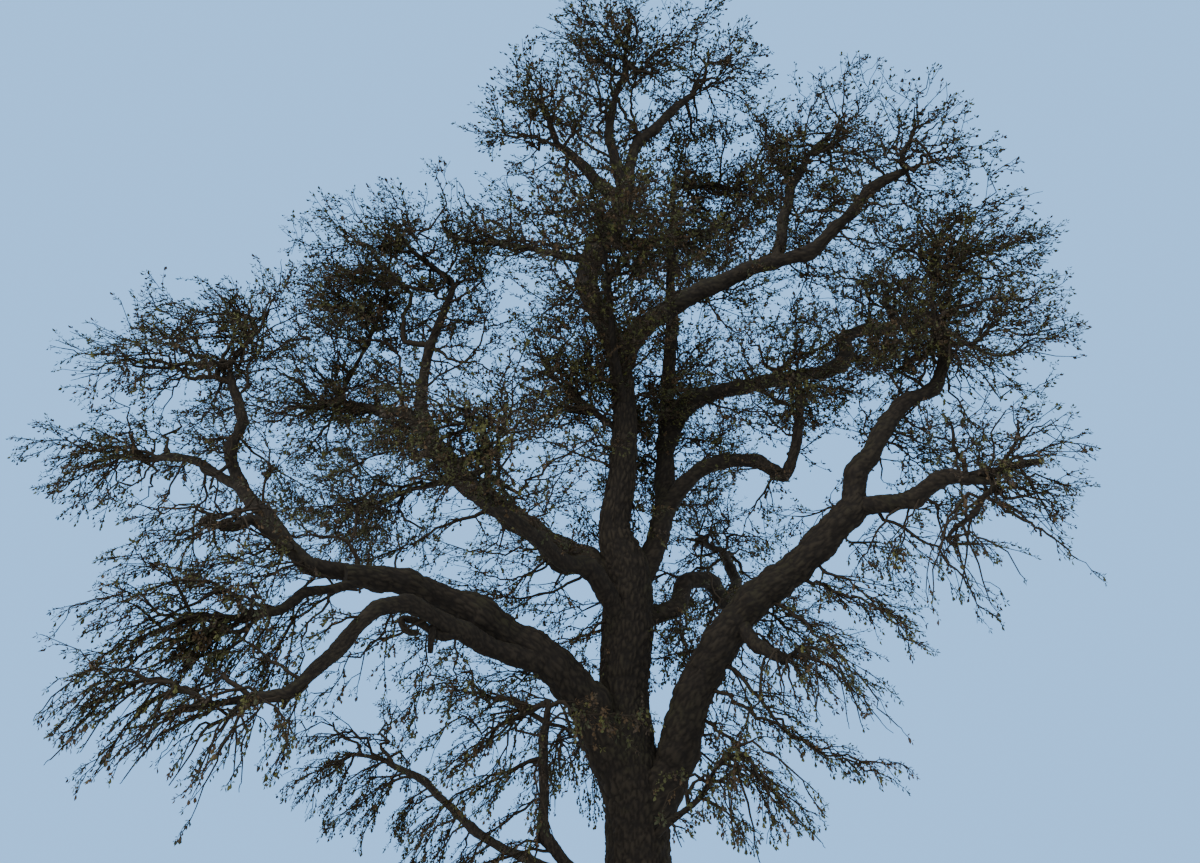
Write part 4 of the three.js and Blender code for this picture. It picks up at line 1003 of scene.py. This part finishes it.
# The forks and curls inside the masses. Each has the radius at its foot, and its elbows as they show: how far
# across and down the picture, and the depth. Its foot is on the limb or stem that shows nearest to it.
curled_limbs = [
    (0.075, [[430, 346, 1.2], [404, 340, 1.3], [403, 318, 1.3], [411, 298, 1.4], [402, 285, 1.4],
             [388, 272, 1.5], [393, 255, 1.5], [402, 242, 1.5], [405, 222, 1.5], [398, 205, 1.6],
             [388, 190, 1.6]]),
    (0.05, [[404, 405, 1.2], [400, 380, 1.3], [398, 352, 1.4], [390, 338, 1.5], [382, 322, 1.5],
            [376, 303, 1.6]]),
    (0.04, [[398, 350, 1.4], [385, 343, 1.3], [358, 340, 1.2], [338, 338, 1.1], [322, 332, 1]]),
    (0.045, [[432, 348, 1.2], [446, 356, 1], [462, 362, 0.8], [480, 363, 0.6], [494, 374, 0.5]]),
    (0.03, [[466, 362, 0.8], [477, 350, 0.8], [483, 334, 0.9], [485, 320, 0.9], [492, 309, 1]]),
    (0.04, [[454, 302, 1.2], [437, 297, 1.2], [434, 282, 1.3], [432, 262, 1.4]]),
    (0.045, [[454, 303, 1.2], [463, 296, 1.1], [476, 287, 1.1], [484, 272, 1.1], [487, 260, 1.1]]),
    (0.035, [[304, 404, 1.7], [302, 386, 1.7], [293, 378, 1.6], [280, 373, 1.6], [270, 367, 1.5],
             [245, 376, 1.4]]),
    (0.03, [[340, 404, 1.6], [338, 385, 1.6], [331, 365, 1.6], [322, 354, 1.7]]),
    (0.035, [[404, 404, 1.2], [394, 389, 1], [376, 382, 0.9], [357, 388, 0.8], [340, 399, 0.8]]),
    (0.03, [[302, 408, 1.7], [288, 407, 1.6], [279, 415, 1.5], [266, 410, 1.4], [252, 404, 1.3]]),
    (0.03, [[866, 205, -0.8], [850, 200, -0.7], [832, 199, -0.6], [815, 196, -0.5]]),
    (0.03, [[869, 203, -0.9], [884, 206, -1.1], [900, 204, -1.3], [916, 200, -1.4]]),
    (0.035, [[893, 170, -1], [887, 158, -1], [882, 145, -1], [885, 132, -1]]),
    (0.035, [[928, 168, -1.1], [941, 159, -1.3], [956, 150, -1.4], [976, 147, -1.5]]),
    (0.03, [[841, 232, -0.7], [852, 243, -0.8], [868, 247, -0.9], [884, 246, -1]]),
    (0.07, [[943, 345, -1.35], [941, 320, -1.3], [948, 300, -1.25], [951, 284, -1.2], [944, 270, -1.1],
            [930, 260, -1.1], [918, 250, -1]]),
    (0.045, [[946, 268, -1.1], [958, 262, -1.2], [978, 254, -1.3], [1001, 248, -1.4], [1020, 239, -1.5],
             [1036, 236, -1.6]]),
    (0.04, [[950, 264, -1.2], [966, 271, -1], [984, 278, -0.9], [1005, 275, -0.8], [1022, 272, -0.8],
            [1040, 279, -0.7]]),
    (0.04, [[942, 314, -1.3], [962, 308, -1.5], [985, 300, -1.7], [1008, 299, -1.8], [1032, 299, -1.9],
            [1042, 290, -2], [1058, 287, -2]]),
    (0.05, [[943, 346, -1.35], [972, 345, -1.7], [996, 356, -1.9], [1014, 352, -2], [1030, 341, -2.1],
            [1058, 337, -2.2]]),
    (0.04, [[868, 318, 2.6], [869, 300, 2.6], [877, 284, 2.5], [886, 265, 2.4], [897, 250, 2.3]]),
    (0.03, [[869, 300, 2.6], [862, 282, 2.6], [850, 279, 2.6], [843, 268, 2.6]]),
    (0.04, [[921, 383, -1.4], [908, 376, -1.3], [896, 370, -1.2], [895, 350, -1.1], [893, 332, -1]]),
    (0.04, [[920, 384, -1.4], [927, 362, -1.2], [928, 342, -1.1], [922, 326, -1]]),
    (0.055, [[566, 152, -0.6], [548, 142, -0.8], [524, 134, -1], [504, 132, -1.1], [500, 115, -1.2]]),
    (0.03, [[528, 135, -1], [532, 120, -0.9], [544, 108, -0.8], [540, 92, -0.8]]),
    (0.045, [[609, 158, 0], [592, 148, -0.2], [577, 134, -0.3], [572, 120, -0.4], [564, 103, -0.4],
             [561, 86, -0.5]]),
    (0.055, [[636, 132, 0.25], [628, 120, 0.2], [619, 102, 0.15], [612, 88, 0.1], [615, 68, 0.1],
             [617, 45, 0.1], [614, 22, 0.1]]),
    (0.04, [[636, 130, 0.25], [631, 108, 0.3], [634, 84, 0.35], [644, 62, 0.4], [662, 50, 0.5],
            [690, 40, 0.6]]),
    (0.03, [[634, 84, 0.35], [646, 75, 0.4], [664, 70, 0.5], [688, 68, 0.6]]),
    (0.03, [[688, 82, 0.5], [702, 80, 0.6], [708, 92, 0.7], [713, 106, 0.7], [716, 120, 0.8]]),
    (0.03, [[688, 88, 0.5], [703, 87, 0.4], [722, 90, 0.3], [740, 98, 0.3], [752, 112, 0.2]]),
    (0.035, [[690, 76, 0.5], [703, 68, 0.4], [716, 62, 0.3], [732, 64, 0.2], [744, 72, 0.2]]),
    (0.03, [[674, 190, 1.4], [678, 170, 1.3], [682, 150, 1.2], [684, 130, 1.1], [680, 112, 1.1]]),
    (0.05, [[592, 258, 0], [565, 254, 0.3], [545, 244, 0.5], [515, 241, 0.7], [485, 240, 0.9],
            [462, 246, 1]]),
    (0.035, [[675, 245, 1.3], [692, 237, 1.2], [712, 228, 1.1], [735, 222, 1], [752, 230, 0.9]]),
    (0.06, [[228, 384, -1.5], [214, 377, -1.6], [192, 378, -1.7], [178, 367, -1.8], [160, 362, -1.9],
            [138, 359, -1.9], [115, 362, -2], [92, 371, -2]]),
    (0.03, [[192, 379, -1.7], [180, 377, -1.8], [170, 382, -1.9], [160, 392, -2]]),
    (0.055, [[219, 378, -1.5], [221, 363, -1.3], [229, 348, -1.2], [236, 332, -1.1], [241, 318, -1],
             [236, 302, -1]]),
    (0.03, [[212, 377, -1.6], [206, 360, -1.6], [199, 350, -1.5], [193, 338, -1.5], [178, 330, -1.6]]),
    (0.03, [[178, 366, -1.8], [174, 352, -1.7], [173, 338, -1.7], [179, 322, -1.7]]),
    (0.045, [[186, 455, -1.8], [172, 460, -1.7], [158, 458, -1.6], [148, 470, -1.5], [134, 485, -1.4],
             [118, 483, -1.4], [100, 500, -1.3]]),
    (0.035, [[153, 446, -1.4], [133, 449, -1.2], [108, 449, -1], [82, 453, -0.8], [55, 466, -0.6]]),
    (0.03, [[140, 449, -1.3], [124, 462, -1.2], [104, 478, -1.1], [82, 499, -1]]),
    (0.035, [[622, 455, 0.1], [604, 448, -0.1], [588, 442, -0.4], [570, 446, -0.7]]),
    (0.035, [[622, 425, 0], [606, 412, -0.2], [590, 408, -0.5], [566, 405, -0.8]]),
    (0.03, [[985, 482, -2.8], [982, 466, -2.8], [977, 448, -2.9], [972, 432, -3]]),
    (0.03, [[957, 480, -2.4], [957, 462, -2.4], [953, 447, -2.4], [944, 432, -2.4]]),
    (0.04, [[990, 492, -2.8], [1008, 499, -2.9], [1026, 497, -3], [1042, 489, -3.1], [1057, 490, -3.2]]),
    (0.04, [[988, 496, -2.8], [1002, 509, -2.9], [1018, 516, -3.1], [1038, 526, -3.3], [1056, 541, -3.5],
            [1078, 560, -3.6]]),
    (0.03, [[985, 498, -2.7], [966, 508, -2.7], [951, 521, -2.8], [943, 533, -2.9], [939, 548, -3]]),
    (0.035, [[600, 560, 0.2], [560, 588, 0.3], [520, 598, 0.4], [480, 590, 0.5], [450, 583, 0.6]]),
    (0.03, [[560, 556, 0.4], [535, 572, 0.2], [505, 580, 0.1], [478, 572, 0]]),
    (0.035, [[282, 612, -3.3], [250, 600, -3.6], [215, 585, -3.8], [180, 580, -4], [150, 590, -4.1]]),
    (0.035, [[262, 620, -3.5], [235, 645, -3.8], [200, 655, -4], [165, 660, -4.2], [130, 680, -4.4]]),
    (0.035, [[300, 680, -4.1], [270, 660, -4], [245, 640, -4], [225, 625, -4.1]]),
    (0.035, [[240, 622, -4], [205, 632, -4.2], [170, 640, -4.4], [135, 660, -4.5], [105, 690, -4.6]]),
    (0.03, [[215, 600, -4], [190, 605, -4.1], [160, 622, -4.2], [130, 640, -4.4], [100, 655, -4.5]]),
    (0.03, [[262, 505, -2.5], [266, 480, -2.4], [270, 455, -2.3], [262, 435, -2.2]]),
    (0.035, [[452, 470, 1], [425, 455, 0.8], [395, 450, 0.6], [365, 460, 0.4], [340, 475, 0.2]]),
    (0.03, [[400, 590, -1.9], [395, 565, -1.6], [400, 540, -1.4], [390, 515, -1.2]]),
    (0.03, [[700, 398, 1.2], [730, 410, 1], [760, 412, 0.8], [785, 418, 0.6]]),
    (0.03, [[846, 345, 2.3], [825, 330, 2.2], [800, 322, 2.1], [775, 325, 2]]),
    (0.03, [[800, 150, 0], [805, 130, 0], [812, 108, 0], [820, 92, 0]]),
    (0.03, [[900, 168, -1], [915, 150, -1], [928, 132, -1], [945, 120, -1]]),
    (0.03, [[985, 478, -2.8], [995, 455, -2.8], [992, 430, -2.9], [1005, 412, -2.9]]),
    (0.03, [[905, 505, -1.9], [885, 520, -2], [872, 540, -2.1], [860, 562, -2.2]]),
    (0.03, [[930, 500, -2.1], [905, 525, -2.3], [890, 550, -2.4]]),
    (0.035, [[612, 470, 0], [580, 455, -0.3], [550, 442, -0.5], [525, 435, -0.7]]),
    (0.03, [[432, 350, 1.2], [455, 345, 1.3], [480, 350, 1.4]]),
]


def place_seen(across, down, depth):
    """The point at a depth of its own that shows at a place in the picture."""
    sideways = (across - picture_middle[0]) / picture_width
    upward = (picture_middle[1] - down) / picture_width
    ahead = depth - camera.location[1]
    rise = ahead * math.tan(look_up + math.atan(upward))
    away = ahead * math.cos(look_up) + rise * math.sin(look_up)
    return np.array([camera.location[0] + sideways * away, depth, camera.location[2] + rise])


inside_limits = 0.3
curled_limb_step = 0.12
depth_weight = 0.3
footing = np.vstack([path["points"] for path in limb_paths.values()]
                    + [mass["stem"]["points"] for mass in masses.values()])
for thick, rows in curled_limbs:
    gaps = (footing - place_seen(*rows[0])) * [1, depth_weight, 1]
    foot = footing[np.argmin(np.linalg.norm(gaps, axis=1))]
    shift = foot[1] - rows[0][2]
    elbows = [place_seen(across, down, depth + shift) for across, down, depth in rows[1:]]
    kept_in = np.clip([foot, *elbows], low_limit + inside_limits, high_limit - inside_limits)
    path = smooth_path(kept_in, curled_limb_step)
    branches.append(kinked_limb(path, elbows[-1], kink=0.02, thick=thick, tip=0.012, bare=0.35))
    footing = np.vstack([footing, path["points"]])

stem_lines = [{"points": mass["stem"]["points"], "girth": mass["stem"]["girth"], "mass": mass}
              for mass in masses.values()]
thinnest_share = 0.4
side_branches = []
for line in branches + stem_lines:
    thinness = max(thinnest_share, min(1, line["mass"]["fullness"])) if line["mass"] else 1
    side_branches += grow_shoots(
        line, spacing=0.205 / thinness, first=line.get("bare", usual_bare_share), reach=0.85, spread=0.85,
        wander=0.09, steps=3,
    )
sprays = []
for line in side_branches:
    sprays += grow_shoots(line, spacing=0.14, first=0.1, reach=0.33, spread=0.85, wander=0.06, steps=2)

bud_spacing = 0.09
bud_stand_off = 0.006
spur_share = 0.12
shortest_spur, longest_spur = 0.04, 0.13


def grow_twiglets(lines, spacing, chance):
    """Buds along every line, some straight on it and some on a short spur. Returns their feet, their tips,
    the number of their line, and which of them have a spur."""
    feet, tips, owners, spurs = [], [], [], []
    for number, spray in enumerate(lines):
        line = spray["points"]
        count = max(1, round(spray["span"] / spacing))
        at = np.clip((np.arange(count) + chance.uniform(0.2, 0.9, count)) / count, 0, 0.999) * (len(line) - 1)
        leg = at.astype(int)
        part = (at - leg)[:, None]
        foot = line[leg] * (1 - part) + line[leg + 1] * part
        heading = unit(line[leg + 1] - line[leg])
        side = unit(np.cross(heading, chance.normal(size=(count, 3)) * [1, 1, 0.4] + [0, 0, 0.8]))
        side *= np.where(np.arange(count) % 2, 1, -1)[:, None]
        pull, _ = drift(line[0])
        way = unit(heading * 0.75 + side * chance.uniform(0.4, 1.0, (count, 1)) + 0.5 * pull)
        on_spur = chance.random(count) < spur_share
        reach = np.where(on_spur, chance.uniform(shortest_spur, longest_spur, count), bud_stand_off)
        feet.append(foot)
        tips.append(foot + way * reach[:, None])
        owners.append(np.full(count, number))
        spurs.append(on_spur)
    return np.vstack(feet), np.vstack(tips), np.concatenate(owners), np.concatenate(spurs)


twiglet_feet, twiglet_tips, twiglet_sprays, on_spur = grow_twiglets(
    sprays, bud_spacing, np.random.default_rng(77)
)

# A twig's rule: a slim tube of the line's girth, with few sides, closed at both ends.
slim_twig = bpy.data.node_groups.new("slim_twig", "GeometryNodeTree")
given, made = add_sockets(
    slim_twig,
    {"Lines": ("Geometry", None), "Sides": ("Int", 3), "Bark": ("Material", None)},
    {"Twigs": ("Geometry", None)},
)
add, _, carried = makers_for(slim_twig)
ring = add("GeometryNodeCurvePrimitiveCircle", Resolution=given["Sides"], Radius=1.0)
twig = add("GeometryNodeMeshToCurve", Mesh=given["Lines"])
twig = add(
    "GeometryNodeCurveToMesh", Curve=twig.outputs["Curve"],
    **{"Profile Curve": ring.outputs["Curve"], "Scale": carried("girth"), "Fill Caps": True},
)
twig = add("GeometryNodeSetShadeSmooth", Geometry=twig.outputs["Mesh"])
twig = add("GeometryNodeRealizeInstances", Geometry=twig.outputs["Geometry"])
twig = add("GeometryNodeSetMaterial", Geometry=twig.outputs["Geometry"], Material=given["Bark"])
slim_twig.links.new(twig.outputs["Geometry"], made["Twigs"])

twig_bark = bark_material(
    "twig_bark", 0.001,
    **{"Ridge": 0.9, "Ridge colour": (0.034, 0.025, 0.016, 1), "Furrow colour": (0.015, 0.011, 0.007, 1),
       "Blotch scale": 14.0, "Grain scale": 260.0, "Algae": 0.0},
)
for name, lines, sides in (("branches", branches, 4), ("side_branches", side_branches, 3)):
    piece = grow_out(skeleton(name, lines), slim_twig, **{"Sides": sides, "Bark": twig_bark})
    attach(piece, "root")
    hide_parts(*["foliage_" + mass for mass in masses])

# Sprays and spurs are slim three-sided spikes that run to a point, the sprays with one bend on the way.
spur_girth = 0.0055


def spikes(name, lines, girth):
    """A piece of spikes along lines of the same number of points each."""
    lines = np.asarray(lines)
    rings = lines.shape[1] - 1
    headings = unit(lines[:, 1:] - lines[:, :-1])
    across = unit(np.cross(headings, [0.31, 0.17, 0.93]))
    third = np.cross(headings, across)
    thick = np.asarray(girth)[..., None, None] * np.linspace(1, 0.75, rings)[:, None, None]
    turns = np.array([0, 2, 4]) * math.pi / 3
    corners = lines[:, :-1, None] + thick * (
        across[:, :, None] * np.cos(turns)[:, None] + third[:, :, None] * np.sin(turns)[:, None]
    )
    points = np.concatenate([corners.reshape(len(lines), -1, 3), lines[:, -1:]], axis=1)
    count = points.shape[1]
    faces = [[2, 1, 0]]
    for first in range(0, 3 * rings - 3, 3):
        for a, b in ((0, 1), (1, 2), (2, 0)):
            faces += [[first + a, first + b, first + 3 + b], [first + a, first + 3 + b, first + 3 + a]]
    faces += [[count - 4 + a, count - 4 + b, count - 1] for a, b in ((0, 1), (1, 2), (2, 0))]
    faces = (count * np.arange(len(lines))[:, None, None] + np.array(faces)).reshape(-1, 3)
    mesh = bpy.data.meshes.new(name)
    mesh.vertices.add(points.size // 3)
    mesh.vertices.foreach_set("co", points.astype(np.float32).ravel())
    mesh.loops.add(faces.size)
    mesh.loops.foreach_set("vertex_index", faces.astype(np.int32).ravel())
    mesh.polygons.add(len(faces))
    mesh.polygons.foreach_set("loop_start", np.arange(0, faces.size, 3, dtype=np.int32))
    mesh.update(calc_edges=True)
    mesh.materials.append(twig_bark)
    piece = bpy.data.objects.new(name, mesh)
    bpy.context.scene.collection.objects.link(piece)
    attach(piece, "root")
    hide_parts(*["foliage_" + mass for mass in masses])


half_way = len(sprays) // 2
spray_girths = np.array([[spray["girth"][0]] for spray in sprays])
spikes("sprays_one", [spray["points"] for spray in sprays[:half_way]], spray_girths[:half_way])
spikes("sprays_two", [spray["points"] for spray in sprays[half_way:]], spray_girths[half_way:])
spikes("spurs", np.stack([twiglet_feet[on_spur], twiglet_tips[on_spur]], 1), [[spur_girth]])


# Young leaves: tufts of two small leaves, not yet full grown, sit at the end of every last twig and spray.
# Each is folded a little along its midrib. They are dull olive, with some sprays bronze or brown.

leaf_length = 0.077
smallest_tuft, largest_tuft = 0.7, 1.25
turn_to_light = 0.25

# The colour of each tint, and its share of the sprays.
leaf_tints = {
    "leaf_olive": ((0.06, 0.063, 0.02, 1), 0.22),
    "leaf_deep_olive": ((0.036, 0.04, 0.016, 1), 0.205),
    "leaf_bronze": ((0.08, 0.049, 0.022, 1), 0.2),
    "leaf_brown": ((0.046, 0.031, 0.018, 1), 0.21),
    "leaf_yellow_green": ((0.095, 0.096, 0.026, 1), 0.165),
}

tuft_shapes = 5
tufts = bpy.data.collections.new("leaf_tufts")
chance = np.random.default_rng(12)
for shape in range(tuft_shapes):
    corners, faces = [], []
    for leaf in range(2):
        size = chance.uniform(0.9, 1.15) if leaf == 0 else chance.uniform(0.65, 0.9)
        wide = size * chance.uniform(0.5, 0.62)
        if leaf == 0:
            outline = [
                [0, 0, 0], [0.1, -0.36 * wide, 0.32 * size], [0.12, -0.5 * wide, 0.62 * size],
                [-0.05, 0, size], [0.12, 0.5 * wide, 0.62 * size], [0.1, 0.36 * wide, 0.32 * size],
            ]
            parts = ((0, 2, 1), (0, 3, 2), (0, 5, 4), (0, 4, 3))
        else:
            outline = [
                [0, 0, 0], [0.1, -0.5 * wide, 0.55 * size], [-0.03, 0, size], [0.1, 0.5 * wide, 0.55 * size],
            ]
            parts = ((0, 2, 1), (0, 3, 2))
        lean = math.radians(chance.uniform(22, 78))
        around = leaf * 2.9 + chance.uniform(-0.6, 0.6)
        level, upward = math.cos(lean), math.sin(lean)
        tilt = np.array([[level, 0, upward], [0, 1, 0], [-upward, 0, level]])
        ahead, aside = math.cos(around), math.sin(around)
        spin = np.array([[ahead, -aside, 0], [aside, ahead, 0], [0, 0, 1]])
        start = len(corners)
        corners.extend(np.array(outline) @ tilt.T @ spin.T + [0, 0, -0.12 * leaf])
        faces.extend([[start + i for i in face] for face in parts])
    tuft_mesh = bpy.data.meshes.new(f"tuft_{shape}")
    tuft_mesh.from_pydata([tuple(corner) for corner in corners], [], faces)
    tufts.objects.link(bpy.data.objects.new(f"tuft_{shape}", tuft_mesh))

# A tuft's rule: one of the tufts at each point, turned and sized by what the point carries.
leafing = bpy.data.node_groups.new("leafing", "GeometryNodeTree")
given, made = add_sockets(
    leafing,
    {
        "Buds": ("Geometry", None), "Tufts": ("Collection", None), "Leaf length": ("Float", 0.07),
        "Leaf": ("Material", None),
    },
    {"Leaves": ("Geometry", None)},
)
add, reckon, carried = makers_for(leafing)
chosen = add(
    "GeometryNodeCollectionInfo", Collection=given["Tufts"],
    **{"Separate Children": True, "Reset Children": True},
)
facing = add("GeometryNodeInputNamedAttribute", {"data_type": "FLOAT_VECTOR"}, Name="facing")
facing = add("FunctionNodeEulerToRotation", Euler=facing.outputs["Attribute"])
kind = add("GeometryNodeInputNamedAttribute", {"data_type": "INT"}, Name="kind").outputs["Attribute"]
size = reckon("MULTIPLY", carried("size"), given["Leaf length"])
leaves = add(
    "GeometryNodeInstanceOnPoints", Points=given["Buds"], Instance=chosen.outputs["Instances"],
    Rotation=facing.outputs["Rotation"], Scale=size, **{"Pick Instance": True, "Instance Index": kind},
)
leaves = add("GeometryNodeRealizeInstances", Geometry=leaves.outputs["Instances"])
leaves = add("GeometryNodeSetMaterial", Geometry=leaves.outputs["Geometry"], Material=given["Leaf"])
leafing.links.new(leaves.outputs["Geometry"], made["Leaves"])

# Buds: the tip of each last twig and each spray, with the way that its tuft faces.
bud_points = np.vstack([twiglet_tips, [spray["points"][-1] for spray in sprays]])
spray_ends = np.array([spray["points"][-1] - spray["points"][-2] for spray in sprays])
bud_ways = np.vstack([unit(twiglet_tips - twiglet_feet), unit(spray_ends)])
bud_sprays = np.concatenate([twiglet_sprays, np.arange(len(sprays))])
bud_ways = unit(bud_ways + [0, 0, turn_to_light])
bud_facing = np.stack([
    np.zeros(len(bud_ways)),
    np.arccos(np.clip(bud_ways[:, 2], -1, 1)),
    np.arctan2(bud_ways[:, 1], bud_ways[:, 0]),
], 1)
chance = np.random.default_rng(31)
shares = np.array([share for _, share in leaf_tints.values()])
spray_tints = chance.choice(len(leaf_tints), len(sprays), p=shares / shares.sum())
bud_sizes = chance.uniform(smallest_tuft, largest_tuft, len(bud_points))
bud_kinds = chance.integers(0, tuft_shapes, len(bud_points))

for tint, (name, (colour, _)) in enumerate(leaf_tints.items()):
    mine = spray_tints[bud_sprays] == tint
    mesh = bpy.data.meshes.new(name)
    mesh.vertices.add(int(mine.sum()))
    mesh.vertices.foreach_set("co", bud_points[mine].astype(np.float32).ravel())
    facing = mesh.attributes.new("facing", "FLOAT_VECTOR", "POINT")
    facing.data.foreach_set("vector", bud_facing[mine].astype(np.float32).ravel())
    size = mesh.attributes.new("size", "FLOAT", "POINT")
    size.data.foreach_set("value", bud_sizes[mine].astype(np.float32))
    kind = mesh.attributes.new("kind", "INT", "POINT")
    kind.data.foreach_set("value", bud_kinds[mine].astype(np.int32))
    piece = bpy.data.objects.new(name, mesh)
    bpy.context.scene.collection.objects.link(piece)

    material = bpy.data.materials.new(name)
    material.use_nodes = True
    tree = material.node_tree
    shader = tree.nodes["Principled BSDF"]
    shader.inputs["Base Color"].default_value = colour
    shader.inputs["Specular IOR Level"].default_value = 0.3
    spot = node(tree, "ShaderNodeTexCoord").outputs["Object"]
    veins = node(tree, "ShaderNodeTexNoise", Vector=spot, Scale=160.0, Detail=2.0).outputs["Fac"]
    rough = node(tree, "ShaderNodeMapRange", i0=veins, i3=0.5, i4=0.75).outputs["Result"]
    tree.links.new(rough, shader.inputs["Roughness"])
    puckered = node(tree, "ShaderNodeBump", Strength=0.4, Distance=0.002, Height=veins)
    tree.links.new(puckered.outputs["Normal"], shader.inputs["Normal"])

    grow_out(piece, leafing, **{"Tufts": tufts, "Leaf length": leaf_length, "Leaf": material})
    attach(piece, "root")
    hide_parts(*["foliage_" + mass for mass in masses])

for tuft in list(tufts.objects):
    bpy.data.objects.remove(tuft)
bpy.data.collections.remove(tufts)
